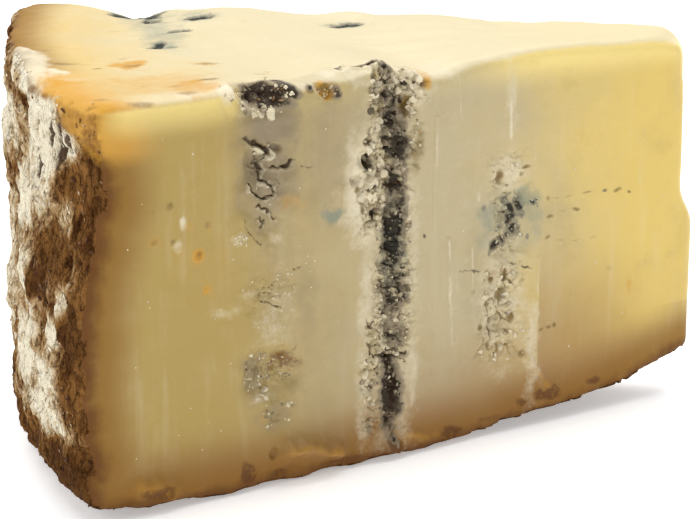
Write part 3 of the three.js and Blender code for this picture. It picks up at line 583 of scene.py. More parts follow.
def along(first, second, line):
    """Distance from a bent line, and 1 above it or -1 below it."""
    best = np.full(first.shape, 99.0)
    side = np.ones(first.shape)
    for (a, b), (c, d) in zip(line.points, line.points[1:]):
        run = np.clip(((first - a) * (c - a) + (second - b) * (d - b)) / ((c - a) ** 2 + (d - b) ** 2), 0, 1)
        off_first, off_second = first - a - run * (c - a), second - b - run * (d - b)
        away = np.hypot(off_first, off_second)
        side = np.where(away < best, np.sign(off_second + 0.3 * off_first), side)
        best = np.minimum(best, away)
    return best, side


# The wheel, its cut faces and their points

Cut = namedtuple("Cut", "way out")


class Wheel:
    """The wheel that the wedge was cut from: its axis, and the way along and out of each cut face."""

    def __init__(self, sizes):
        cosine, sine = math.cos(sizes.half_angle), math.sin(sizes.half_angle)
        self.axis = Vector((CAD_HIGH.x + sizes.axis_gap, sizes.axis_side, 0.0))
        self.radius = sizes.wheel_radius / MM
        self.near = Cut(Vector((-cosine, -sine, 0.0)), Vector((sine, -cosine, 0.0)))
        self.far = Cut(Vector((-cosine, sine, 0.0)), Vector((sine, cosine, 0.0)))

    def cut(self, near):
        return self.near if near else self.far


class Face:
    """Where points lie on a cut face: at along it, up it, gap behind it, path up it and over its edge."""

    def __init__(self, flat, up, cut):
        self.at = flat @ np.array(cut.way)
        self.gap = -(flat @ np.array(cut.out))
        lean = np.arctan2(np.maximum(up - EDGE_UP, 0.0), np.maximum(EDGE_DEPTH - self.gap, 0.01))
        self.up = up + 0.7 * np.maximum(self.gap, 0.0) * smooth(up, 52.0, 52.9)
        self.path = np.minimum(up, EDGE_UP) + EDGE_DEPTH * lean
        self.out = np.cos(lean)[:, None] * np.array(cut.out) + np.sin(lean)[:, None] * np.array(UPWARD)
        self.share = smooth(6.0 - self.gap, 0.0, 0.8) * (1 - smooth(lean, 1.0, 1.25))

    def inside(self, cover, low, high):
        """1 well inside a covered stretch, 0 at its border and beyond."""
        beyond_at = np.maximum(self.at - cover.notch_at, 0.0)
        beyond_up = np.maximum(self.path - cover.notch_up, 0.0)
        edges = (
            self.at - cover.low, cover.high - self.at,
            self.path - cover.foot, cover.head - self.path, np.hypot(beyond_at, beyond_up))
        return smooth(np.minimum.reduce(edges), low, high)


class Land:
    """Points of the cheese, measured in millimetres from the wheel's axis."""

    def __init__(self, place, normal, wheel):
        self.place, self.normal = place, normal
        measured = (place - np.array(wheel.axis)) / MM
        self.x, self.y, self.up = measured.T
        flat = measured * (1, 1, 0)
        self.near = Face(flat, self.up, wheel.near)
        self.far = Face(flat, self.up, wheel.far)
        self.radius = np.hypot(self.x, self.y)
        turn = np.arctan2(self.y, -self.x)
        self.degrees = np.degrees(turn)
        self.around = turn * wheel.radius
        self.outward = flat / self.radius[:, None]


class Bare:
    """The cheese before its fine relief: its mesh object, its points and how far they are from the rind."""

    def __init__(self, context):
        self.wheel = Wheel(context.scene.cheese_sizes)
        self.piece = bpy.data.objects.new("cheese_body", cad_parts[NODE].data.copy())
        context.scene.collection.objects.link(self.piece)
        only(self.piece)
        bpy.ops.object.mode_set(mode="EDIT")
        bpy.ops.mesh.select_all(action="SELECT")
        bpy.ops.mesh.remove_doubles(threshold=0.000001)
        bpy.ops.object.mode_set(mode="OBJECT")
        apply_modifier(self.piece, "REMESH", mode="VOXEL", voxel_size=BODY_GRAIN)
        apply_modifier(self.piece, "SMOOTH", factor=0.5, iterations=4)
        self.round_brim()
        self.land = self.measure()
        self.tree = self.crust()

    def measure(self):
        count = len(self.piece.data.vertices)
        if count < FEWEST_POINTS:
            raise RuntimeError("the packed wedge has too few vertices to dress")
        place = np.empty(count * 3)
        normal = np.empty(count * 3)
        self.piece.data.vertices.foreach_get("co", place)
        self.piece.data.vertices.foreach_get("normal", normal)
        return Land(place.reshape(-1, 3), normal.reshape(-1, 3), self.wheel)

    def round_brim(self):
        """Rounds the upper edge of the shown face beside the rind, and that of the hidden face."""
        land = self.measure()
        by_rind = (land.near.gap < 6) & (land.near.at > 81)
        brim = (land.up > 45) & (by_rind | (land.far.gap < 6))
        group = self.piece.vertex_groups.new(name="brim")
        group.add(np.flatnonzero(brim).tolist(), 1.0, "REPLACE")
        apply_modifier(self.piece, "SMOOTH", factor=0.5, iterations=40, vertex_group=group.name)
        self.piece.vertex_groups.clear()

    def crust(self):
        """Search tree of the outer side and the underside."""
        land = self.land
        side = (np.sum(land.normal * land.outward, axis=1) > 0.55) & (land.radius > 88)
        under = (land.normal[:, 2] < -0.6) & (land.up < 9)
        members = np.flatnonzero(side | under)
        tree = kdtree.KDTree(len(members))
        for index in members:
            tree.insert(land.place[index], int(index))
        tree.balance()
        return tree

    def gap(self, land):
        """Distance of points from the rind in millimetres."""
        gap = np.full(len(land.place), FIELD_REACH)
        for index in np.flatnonzero((land.radius > 86) | (land.up < 14)):
            gap[index] = min(self.tree.find(land.place[index])[2] / MM, FIELD_REACH)
        return gap


def vein_relief(at, up, seed):
    """Outward push of the crumbling veins, how much of each place crumbles, its clefts and its tone."""
    height, cleft, tone = rubble(at, up, seed)
    share = np.zeros(at.shape)
    wander = 1.1 * layered(at, up, 2.4, seed + 9)
    for vein in NEAR_VEINS:
        reach = np.exp(-(np.abs((at - vein.at + wander) / vein.half) ** 3))
        reach = reach * smooth(up, vein.low - 1, vein.low + 1)
        reach = reach * (1 - smooth(up, vein.high - 1, vein.high + 1))
        share = np.maximum(share, reach * vein.crumb)
    return share * (height - 0.8 * cleft - 0.15), share, cleft, tone


def crack_relief(at, up, seed):
    """Outward push of the cracks, how far inside or outside of them each place is, and their raised lower
    lips, which the finish paints pale as a painted highlight.
    """
    shaken_at = at + 0.30 * layered(at, up, 1.3, seed) + 0.20 * grain(at, up, 0.45, seed + 2)
    shaken_up = up + 0.30 * layered(at, up, 1.3, seed + 4) + 0.20 * grain(at, up, 0.45, seed + 6)
    thick = 0.85 + 1.0 * layered(at, up, 0.9, seed + 8, 2)
    push = np.zeros(at.shape)
    lip = np.zeros(at.shape)
    inside = np.full(at.shape, 9.0)
    for line in NEAR_CRACKS:
        away, side = along(shaken_at, shaken_up, line)
        width = np.maximum(line.width * thick, 0.03)
        push = np.minimum(push, -0.7 * line.depth * np.exp(-((away / width) ** 2)))
        edge = np.exp(-(((away - 1.9 * line.width) / (1.6 * line.width)) ** 2)) * (side < 0)
        lip = np.maximum(lip, edge * line.depth)
        inside = np.minimum(inside, away - width)
    return push + 0.3 * lip * (push > -0.1), inside, lip


def ridge_relief(at, up, lines, shake, seed):
    """Outward push of raised lines, and the share of each place that they cover."""
    shaken_at = at + shake * layered(at, up, 2.0, seed)
    shaken_up = up + shake * layered(at, up, 2.0, seed + 4)
    push = np.zeros(at.shape)
    share = np.zeros(at.shape)
    for line in lines:
        here = np.exp(-((along(shaken_at, shaken_up, line)[0] / line.width) ** 2))
        push = np.maximum(push, here * line.depth)
        share = np.maximum(share, here)
    return push, share


class Skin:
    """Fine relief of the cheese's points, as a push in millimetres, and the fields that its finish reads."""

    def __init__(self, land, gap, sizes):
        self.land, self.gap, self.seed = land, gap, sizes.seed
        self.rind = 1 - smooth(gap, 0.0, RIND_FADE)
        self.near = land.near.share * (1 - self.rind)
        self.far = land.far.share * (1 - self.rind) * (1 - self.near)
        hidden = self.far > self.near
        self.at = np.where(hidden, np.interp(land.far.at, FAR_AT, LIKE_AT), land.near.at)
        self.up = np.where(hidden, FAR_TURN - land.far.up, land.near.up)
        self.out = np.where(hidden[:, None], land.far.out, land.near.out)
        self.cut = self.near + self.far
        self.top = smooth(land.normal[:, 2], 0.55, 0.85) * (land.up > 45)
        self.raise_cuts()
        self.tint_cuts()
        self.dress_top()
        self.dress_rind(sizes.rind_crag / MM)
        self.wear_foot(sizes.foot_wear / MM)

    def cut_noise(self, size, draws):
        return layered(self.at, self.up, size, self.seed + draws)

    def cut_spots(self, places, ragged, draws, steep=1.5):
        return spots(self.at, self.up, places, ragged, self.seed + draws, steep)

    def top_noise(self, size, draws, layers=3):
        return layered(self.land.x, self.land.y, size, self.seed + draws, layers)

    def top_spots(self, places, ragged, draws):
        return spots(self.land.x, self.land.y, places, ragged, self.seed + draws)

    def rind_spots(self, places, ragged, draws):
        return spots(self.land.degrees, self.land.up, places, ragged, self.seed + draws)

    def raise_cuts(self):
        """Relief of both cut faces: veins, cracks, knife lines, folds, pits and soft waves."""
        at, up, seed, far_face = self.at, self.up, self.seed, self.land.far
        vein_push, crumb, cleft, tone = vein_relief(at, up, seed)
        crack_push, crack, lip = crack_relief(at, up, seed + 20)
        drag_push, drag = ridge_relief(at, up, NEAR_DRAGS, 0.12, seed + 30)
        fold_push, fold = ridge_relief(at, up, NEAR_FOLDS, 0.7, seed + 34)
        pit = self.cut_spots(NEAR_PITS, 0.7, 36, 3.0) - self.cut_spots(NEAR_FILLS, 0.0, 0)
        wave = 0.14 * self.cut_noise(9.0, 38) + 0.03 * self.cut_noise(1.4, 39)
        wave = wave + self.cut_spots(NEAR_SOFT, 0.8, 35) * self.cut_noise(2.3, 37)
        fill = self.far * spots(far_face.at, far_face.up, FAR_FILLS, 0.0, seed)
        rise = vein_push + crack_push + drag_push + self.near * fold_push - pit + wave + fill
        self.push = (self.cut * rise)[:, None] * self.out
        self.crumb, self.cleft, self.tone = crumb, cleft, tone
        self.lip, self.fold, self.pit = lip, fold, pit
        self.drag = drag * (0.45 + 0.75 * self.cut_noise(4.0, 32))
        inside = 0.5 + np.clip(crack, -CRACK_REACH, CRACK_REACH) / (2 * CRACK_REACH)
        self.crack = np.where(self.cut > 0.5, inside, 1.0)

    def tint_cuts(self):
        """Mould, bloom, halo, stains and tints of both cut faces, with painted light under the top edge and
        browning toward the foot that is partly painted contact shade.
        """
        at, up, near, cut, land = self.at, self.up, self.near, self.cut, self.land
        crumb, tone = self.crumb, self.tone
        self.core = self.cut_spots(NEAR_MOULD, 0.55, 50)
        # The clefts add to the mould: dark mould lies in them, with painted shade
        mould = self.core + crumb * (0.9 * (0.5 - tone) + 0.2 * self.cleft)
        green = self.cut_spots(NEAR_GREEN, 0.8, 53) + 0.25 * crumb * (0.5 - tone)
        specks = np.maximum(self.cut_spots(NEAR_SPECKS, 0.25, 51), green)
        self.mould = cut * np.maximum(mould, specks)
        self.blue = cut * self.cut_spots(NEAR_BLUE, 1.5, 52)
        pale = np.maximum(self.cut_spots(NEAR_PALE_AND_HIGHLIGHTS, 0.9, 54), 0.9 * crumb * (tone - 0.15))
        # Painted highlight: the cracks' lower lips are painted pale, beside the pale knife lines
        self.pale = cut * np.maximum(pale, np.maximum(0.9 * self.drag, 0.7 * self.lip))
        self.grey = cut * self.cut_spots(NEAR_GREY, 1.2, 56)
        folded = 0.35 * near * self.fold * (up < 8)
        self.stain = np.maximum(cut * self.cut_spots(NEAR_STAIN, 0.7, 58), folded)
        self.earth = near * self.cut_spots(NEAR_EARTH, 0.6, 59)
        clefts = 1.5 * crumb * self.cleft * (at < 45) * (up < 26)
        self.olive = cut * np.maximum(self.cut_spots(NEAR_OLIVE, 0.35, 61), clefts)
        middle = smooth(at, 34, 48) * (1 - smooth(at, 77, 84))
        # Painted light: brighter, yellower paste just under the top edge, less in the middle of the face
        self.painted_glow = cut * smooth(land.up, 46.6, 51.2) * (1 - 0.75 * middle) * (1 - self.top)
        # Browner toward the foot: partly brown staining, partly painted contact shade; point_shade is
        # painted shade on the point's lower part beside the knife line
        foot_reach = 13 + 11 * smooth(88 - np.maximum(land.near.at, land.far.at), 10, 60)
        low = np.clip(1 - land.up / foot_reach, 0, 1) * (1 - 0.5 * smooth(24 - at, 0, 13))
        point_shade = 0.34 * near * smooth(33.9 - at, 0.0, 0.5) * smooth(33 - up, 0, 10)
        self.low = low + point_shade * (1 - 0.6 * smooth(30 - at, 0, 18))

    def dress_top(self):
        """Mould, haze, stains, freckles and the cottony lump of the top."""
        land, top, seed = self.land, self.top, self.seed
        mould = top * self.top_spots(TOP_MOULD, 1.9, 70)
        haze = top * self.top_spots(TOP_HAZE, 1.6, 72)
        self.mould = np.maximum(self.mould, mould)
        self.blue = np.maximum(self.blue, np.maximum(0.8 * mould, haze))
        self.stain = np.maximum(self.stain, top * self.top_spots(TOP_STAIN, 2.2, 74))
        freckle = layered(0.5 * land.x, land.y, 1.1, seed + 75, 2) - 0.5 + 0.2 * self.top_noise(9.0, 77)
        freckle = 1.6 * np.clip(freckle, 0, 0.4) * smooth(-land.x, 62, 80) * smooth(8 - land.y, 0, 10)
        self.olive = np.maximum(self.olive, top * np.maximum(freckle, self.top_spots(TOP_OLIVE, 0.5, 79)))
        lump_push, lump = ridge_relief(land.x, land.y, TOP_LUMPS, 1.2, seed + 73)
        brim = smooth(land.up, 48.5, 50.5)
        self.lump = brim * lump
        self.pale = np.maximum(self.pale, brim * np.maximum(lump, self.top_spots(TOP_PALE, 1.2, 76)))
        self.push[:, 2] += top * (0.1 * self.top_noise(7.0, 78)) - 0.5 * mould
        self.push += (brim * lump_push * (0.8 + 0.6 * self.top_noise(1.8, 71)))[:, None] * land.normal

    def dress_rind(self, crag_height):
        """Crags, holes, powder and earth of the rind, and the darkness of the whole cheese's hollows:
        painted shade in pits and rind holes, with dark mould in the torn clefts.
        """
        land, rind = self.land, self.rind
        under = land.normal[:, 2] < -0.8
        crag = stones(land.around, land.up, 2.0, self.seed + 80)
        rough = layered(land.around, 0.6 * land.up, 2.6, self.seed + 84, 4)
        hole = self.rind_spots(RIND_HOLES, 0.2, 86)
        height = 1.3 * rough + 0.4 * (0.5 - crag.middle) - 0.5 * crag.cleft
        crag_push = crag_height * height * np.where(under, 0.0, 1.0) - hole
        self.push += (rind * crag_push)[:, None] * land.normal
        soil = self.rind_spots(RIND_EARTH, 0.9, 92)
        drift = 0.18 * layered(land.around, land.up, 5.0, self.seed + 94)
        powder = 0.30 + 0.55 * self.rind_spots(RIND_POWDER, 0.9, 90) - 0.5 * soil + drift + 0.25 * height
        self.powder = np.clip(np.maximum(powder - 0.3 * under, self.lump), 0, 1)
        self.earth = np.maximum(self.earth, rind * soil)
        # Painted shade in the hollows: the torn, mouldy clefts, the deepest pits and the rind's holes
        torn = self.crumb * self.cleft * np.clip(1.5 * self.core, 0.1, 1.0)
        hollow = self.cut * np.maximum(torn, np.clip(0.8 * (self.pit - 0.75), 0, 0.8))
        self.hollow_mould_and_shade = np.maximum(hollow, rind * np.clip(hole, 0, 1))
        corner = smooth(land.up + 0.8 * np.clip(-land.degrees - 14, 0, 6), 48.5, 51.5)
        self.gold = corner * smooth(-land.degrees, 5, 9)

    def wear_foot(self, depth):
        """Wears away the lower edge."""
        land = self.land
        wear = np.clip(depth * (0.6 + 0.8 * self.top_noise(3.5, 88, 2)), 0, None)
        rim = np.minimum(np.minimum(land.near.gap, land.far.gap), WHEEL_RADIUS - land.radius)
        self.push[:, 2] += wear * (1 - smooth(land.up, 0.5, 3.5)) * (1 - smooth(rim, 0.5, 3.0))

    def give(self, mesh, sunk):
        """Moves a mesh's points, sunk by so much from each cut face, and stores the fields in it."""
        near_face, far_face = self.land.near, self.land.far
        self.push -= sunk(near_face, True)[:, None] * near_face.out
        self.push -= sunk(far_face, False)[:, None] * far_face.out
        mesh.vertices.foreach_set("co", (self.land.place + self.push * MM).ravel())
        mesh.update()
        store(mesh, "veins", self.mould, self.pale, self.blue, self.stain)
        store(mesh, "crust", self.rind, self.powder, self.earth, self.gap / FIELD_REACH)
        store(mesh, "cuts", self.crack, self.hollow_mould_and_shade, self.grey, self.top)
        store(mesh, "tints", self.olive, self.painted_glow, self.low, self.gold)


def store(mesh, name, *channels):
    """Keeps four fields of a mesh as one colour attribute."""
    layer = mesh.attributes.new(name, "FLOAT_COLOR", "POINT")
    layer.data.foreach_set("color", np.stack(channels, axis=1).astype(np.float32).ravel())


def under_patches(face, near):
    """How far the body gives way to the finer patches."""
    sunk = np.zeros(face.at.shape)
    for cover in (SHOWN_COVER, *FAR_COVERS):
        if cover.near == near:
            sunk = np.maximum(sunk, face.inside(cover, 1.8, 3.0))
    return PATCH_SINK * sunk * (face.gap < EDGE_DEPTH)


def evenly(low, high, step):
    return low + step * np.arange(round((high - low) / step) + 1)


def patch_grid(patch, wheel, tree):
    """Rows of points on the bare cheese under a patch."""
    cut = wheel.cut(patch.cover.near)
    steps = evenly(patch.low, patch.high, patch.step)
    paths = evenly(patch.foot, patch.cover.head, patch.step)
    starts = np.empty((len(paths), len(steps), 3))
    depth = np.empty((len(paths), len(steps), 1))
    rays = np.empty((len(paths), 1, 3))
    for row, path in enumerate(paths):
        lean = max(path - EDGE_UP, 0.0) / EDGE_DEPTH
        ray = cut.out * math.cos(lean) + UPWARD * math.sin(lean)
        behind = wheel.axis - cut.out * (EDGE_DEPTH * MM) + UPWARD * (min(path, EDGE_UP) * MM)
        root = behind + ray * PATCH_START
        rays[row, 0] = ray
        for column, step in enumerate(steps):
            start = root + cut.way * (step * MM)
            distance = tree.ray_cast(start, -ray)[3]
            if distance is None:
                raise RuntimeError("a patch reaches beyond the cheese")
            starts[row, column] = start
            depth[row, column] = distance
    for _ in range(2):
        wide = np.pad(depth, ((1, 1), (1, 1), (0, 0)), mode="edge")
        depth = (wide[:-2, 1:-1] + wide[2:, 1:-1] + wide[1:-1, :-2] + wide[1:-1, 2:] + 2 * depth) / 6
    return starts - rays * depth


# Crumbs and flakes

class Crumbs:
    """Gathers crumbs that rest on the cheese, then joins them into one mesh."""

    def __init__(self, pieces, sizes, seed):
        self.tree = search_tree(pieces)
        self.wheel = Wheel(sizes)
        self.chance = np.random.default_rng(seed)
        self.shape = crumb_shape()
        self.points, self.tones = [], []

    def land(self, start, way):
        """Where a line from outside meets the cheese."""
        place = self.tree.ray_cast(start, way)[0]
        if place is None:
            raise RuntimeError("a crumb has nothing to rest on")
        return np.array(place)

    def add(self, place, basis, half, out, tone):
        """Adds a chipped crumb with painted light and shade: lighter above and outside than below."""
        points = self.shape.points * (1 + 0.35 * (self.chance.random((len(self.shape.points), 1)) - 0.5))
        for _ in range(4):
            chip = self.chance.normal(size=3)
            chip /= np.linalg.norm(chip)
            beyond = np.maximum(points @ chip - self.chance.uniform(0.4, 0.8), 0.0)
            points = points - beyond[:, None] * chip
        offset = (points * half) @ basis
        facing = offset / np.linalg.norm(offset, axis=1, keepdims=True)
        tones = np.tile(np.array(tone), (len(points), 1))
        # Painted light and shade: faces turned up and out are lighter, faces turned down and in darker
        tones[:, 0] += 0.16 * facing[:, 2] + 0.16 * (facing @ np.array(out)) - 0.06
        self.points.append(place + offset)
        self.tones.append(tones)

    def turned(self):
        """Axes of a random turn."""
        axes, _ = np.linalg.qr(self.chance.normal(size=(3, 3)))
        return axes * np.sign(np.linalg.det(axes))

    def on_face(self, at, up, near):
        cut = self.wheel.cut(near)
        start = self.wheel.axis + cut.way * (at * MM) + UPWARD * (up * MM) + cut.out * CRUMB_START
        return self.land(start, -cut.out), np.array(cut.out)

    def heap(self, heap, near=True):
        """Scatters a heap's crumbs over its patch of a cut face."""
        for _ in range(heap.count):
            u, v = self.chance.uniform(-1, 1, 2)
            if abs(u) ** 3 + abs(v) ** 3 > 1:
                u, v = 0.7 * u, 0.7 * v
            place, out = self.on_face(heap.at + u * heap.wide, heap.up + v * heap.tall, near)
            size = heap.small * (heap.large / heap.small) ** (self.chance.random() ** 1.6)
            half = 0.55 * MM * size * self.chance.uniform((0.8, 0.6, 0.5), (1.3, 1.0, 0.9))
            pick = self.chance.random()
            tones = DARK_TONES if pick < heap.dark else GREY_TONES
            tones = tones if pick < heap.dark + heap.grey else PALE_TONES
            warm = self.chance.random() * 0.8 if self.chance.random() < heap.warm else 0.0
            blue = self.chance.random() * 0.9 if self.chance.random() < heap.blue else 0.0
            lift = MM * size * self.chance.uniform(-0.28, 0.08)
            tone = (self.chance.uniform(*tones), warm, blue, self.chance.random())
            self.add(place + out * lift, self.turned(), half, out, tone)

    def speck(self, at, up, size):
        """Sets one white speck in the shown face."""
        place, out = self.on_face(at, up, True)
        self.add(place, self.turned(), 0.5 * MM * size * np.ones(3), out, (1.0, 0.0, 0.0, 0.0))

    def flake(self, turn, up, size, tone):
        """Lays one flake on the rind."""
        out = Vector((-math.cos(turn), math.sin(turn), 0.0))
        place = self.land(self.wheel.axis + out * FLAKE_START + UPWARD * (up * MM), -out)
        flat = np.stack((np.cross(UPWARD, out), np.array(UPWARD), np.array(out)))
        basis, _ = np.linalg.qr((flat + 0.45 * self.turned()).T)
        basis = basis.T * np.sign(np.linalg.det(basis))
        half = 0.5 * MM * size * self.chance.uniform((0.7, 0.8, 0.25), (1.1, 1.5, 0.5))
        self.add(place, basis, half, out, tone)

    def join(self, name):
        """One mesh object of all the crumbs, each of them closed."""
        each = len(self.shape.points)
        faces = self.shape.faces[None] + each * np.arange(len(self.points))[:, None, None]
        piece = mesh_piece(name, np.concatenate(self.points), faces.reshape(-1, 4))
        store(piece.data, "crumb", *np.concatenate(self.tones).T)
        return piece


Shape = namedtuple("Shape", "points faces")


def crumb_shape():
    """A cube that is divided once and rounded off: 26 points and 24 faces about one unit in radius."""
    bpy.ops.object.select_all(action="DESELECT")
    bpy.ops.mesh.primitive_cube_add(size=1.6)
    model = bpy.context.active_object
    bpy.ops.object.mode_set(mode="EDIT")
    bpy.ops.mesh.subdivide(number_cuts=1)
    bpy.ops.object.mode_set(mode="OBJECT")
    apply_modifier(model, "CAST", cast_type="SPHERE", factor=0.85, radius=1.0, size=1.0)
    points = np.array([vertex.co for vertex in model.data.vertices])
    faces = np.array([face.vertices for face in model.data.polygons])
    bpy.data.meshes.remove(model.data)
    return Shape(points, faces)


# Shader wiring

class Wire:
    """A shader socket that takes part in sums."""

    def __init__(self, maker, socket):
        self.maker = maker
        self.socket = socket

    def other(self, name):
        return Wire(self.maker, self.socket.node.outputs[name])

    def sum(self, operation, first, second):
        return self.maker.node("ShaderNodeMath", {"operation": operation}, {0: first, 1: second})

    def __add__(self, value):
        return self.sum("ADD", self, value)

    def __radd__(self, value):
        return self.sum("ADD", value, self)

    def __sub__(self, value):
        return self.sum("SUBTRACT", self, value)

    def __rsub__(self, value):
        return self.sum("SUBTRACT", value, self)

    def __mul__(self, value):
        return self.sum("MULTIPLY", self, value)

    def __rmul__(self, value):
        return self.sum("MULTIPLY", value, self)


class Finish:
    """A material built from nodes."""

    def __init__(self, name):
        self.material = bpy.data.materials.new(name)
        self.material.use_nodes = True
        self.tree = self.material.node_tree
        self.tree.nodes.clear()

    def node(self, kind, settings=None, sockets=None, out=0):
        node = self.tree.nodes.new(kind)
        for name, value in (settings or {}).items():
            setattr(node, name, value)
        for key, value in (sockets or {}).items():
            if isinstance(value, Wire):
                self.tree.links.new(value.socket, node.inputs[key])
            else:
                node.inputs[key].default_value = value
        return Wire(self, node.outputs[out]) if node.outputs else node

    def place(self):
        return self.node("ShaderNodeTexCoord", out="Object")

    def field(self, name):
        """The four channels of a stored field."""
        colour_out = self.node("ShaderNodeAttribute", {"attribute_name": name}, out="Color")
        split = self.node("ShaderNodeSeparateColor", None, {"Color": colour_out})
        return split, split.other("Green"), split.other("Blue"), colour_out.other("Alpha")

    def mix(self, share, first, second):
        settings = {"data_type": "RGBA", "clamp_factor": True}
        return self.node("ShaderNodeMix", settings, {0: share, 6: first, 7: second}, out=2)

    def step(self, value, low, high):
        return self.node(
            "ShaderNodeMapRange", {"interpolation_type": "SMOOTHSTEP"},
            {"Value": value, "From Min": low, "From Max": high, "To Min": 0.0, "To Max": 1.0})

    def lay(self, base, over, amount, value, low, high):
        """Lays a colour over another where a value passes from low to high."""
        return self.mix(self.step(value, low, high) * amount, base, over)

    def noise(self, place, scale, detail, rough):
        """Noise about zero, from -0.5 to 0.5."""
        sockets = {"Vector": place, "Scale": scale, "Detail": detail, "Roughness": rough}
        return self.node("ShaderNodeTexNoise", None, sockets) - 0.5

    def drawn_out(self, place, across, upward, detail, rough):
        """Noise that is drawn out up the cheese."""
        scaled = self.node("ShaderNodeMapping", None, {"Vector": place, "Scale": (across, across, upward)})
        return self.noise(scaled, 1.0, detail, rough)

    def size(self, value):
        """A number without its sign."""
        return self.node("ShaderNodeMath", {"operation": "ABSOLUTE"}, {0: value})

    def bump(self, height, strength, distance):
        return self.node(
            "ShaderNodeBump", None, {"Height": height, "Strength": strength, "Distance": distance})

    def surface(self, sockets):
        return self.node("ShaderNodeBsdfPrincipled", None, sockets)

    def close(self, shader):
        self.node("ShaderNodeOutputMaterial", None, {"Surface": shader})
        return self.material


def paste_colour(finish, colours, place, gap, cloud, patch, mottle):
    """Paste: olive by the rind, beige in the middle, golden at the point with painted light through it, pale
    on top, brown at the foot partly as painted shade, and painted light under the top edge.
    """
    _, _, grey, top = finish.field("cuts")
    _, painted_glow, low, gold = finish.field("tints")
    across = finish.node("ShaderNodeSeparateXYZ", None, {"Vector": place}) + cloud * 0.02
    paste = finish.mix(finish.step(across, 0.006, -0.030), colours.paste, colours.paste_rind)
    # Toward the point the paste turns golden: its own tint and painted light through the thin point
    paste = finish.mix(finish.step(across, 0.008, 0.040), paste, colours.golden_paste_and_glow)
    paste = finish.lay(paste, colours.paste_rind, 0.3, cloud + patch * 0.5, 0.0, 0.35)
    upper = finish.mix(finish.step(across, -0.02, -0.046), colours.paste_top, colours.paste_brim)
    paste = finish.mix(top * 0.85, paste, upper)
    beside = finish.step(gap + cloud * 0.14 + patch * 0.06 + top * 0.12, 0.75, 0.2)
    paste = finish.mix(beside * 0.88, paste, finish.mix(gold, colours.brown, colours.gold))
    waxen = 1.0 - beside * 0.8
    # Painted light under the top edge
    bright = painted_glow * finish.step(gap + cloud * 0.2, -0.02, 0.3)
    paste = finish.mix(bright * 0.9, paste, colours.painted_glow)
    # Browner toward the foot, partly painted contact shade
    paste = finish.lay(paste, colours.foot, 0.62, low + cloud * 0.35 + patch * 0.15, 0.05, 1.0)
    veil = finish.drawn_out(place, 420.0, 45.0, 2.0, 0.6)
    paste = finish.lay(paste, colours.pale, waxen * 0.22, veil + patch * 0.4, 0.0, 0.4)
    paste = finish.lay(paste, colours.grey, waxen * 0.16, cloud + mottle * 0.5, 0.05, 0.45)
    return finish.lay(paste, colours.grey, 0.95, grey + patch * 0.5, 0.0, 1.0)


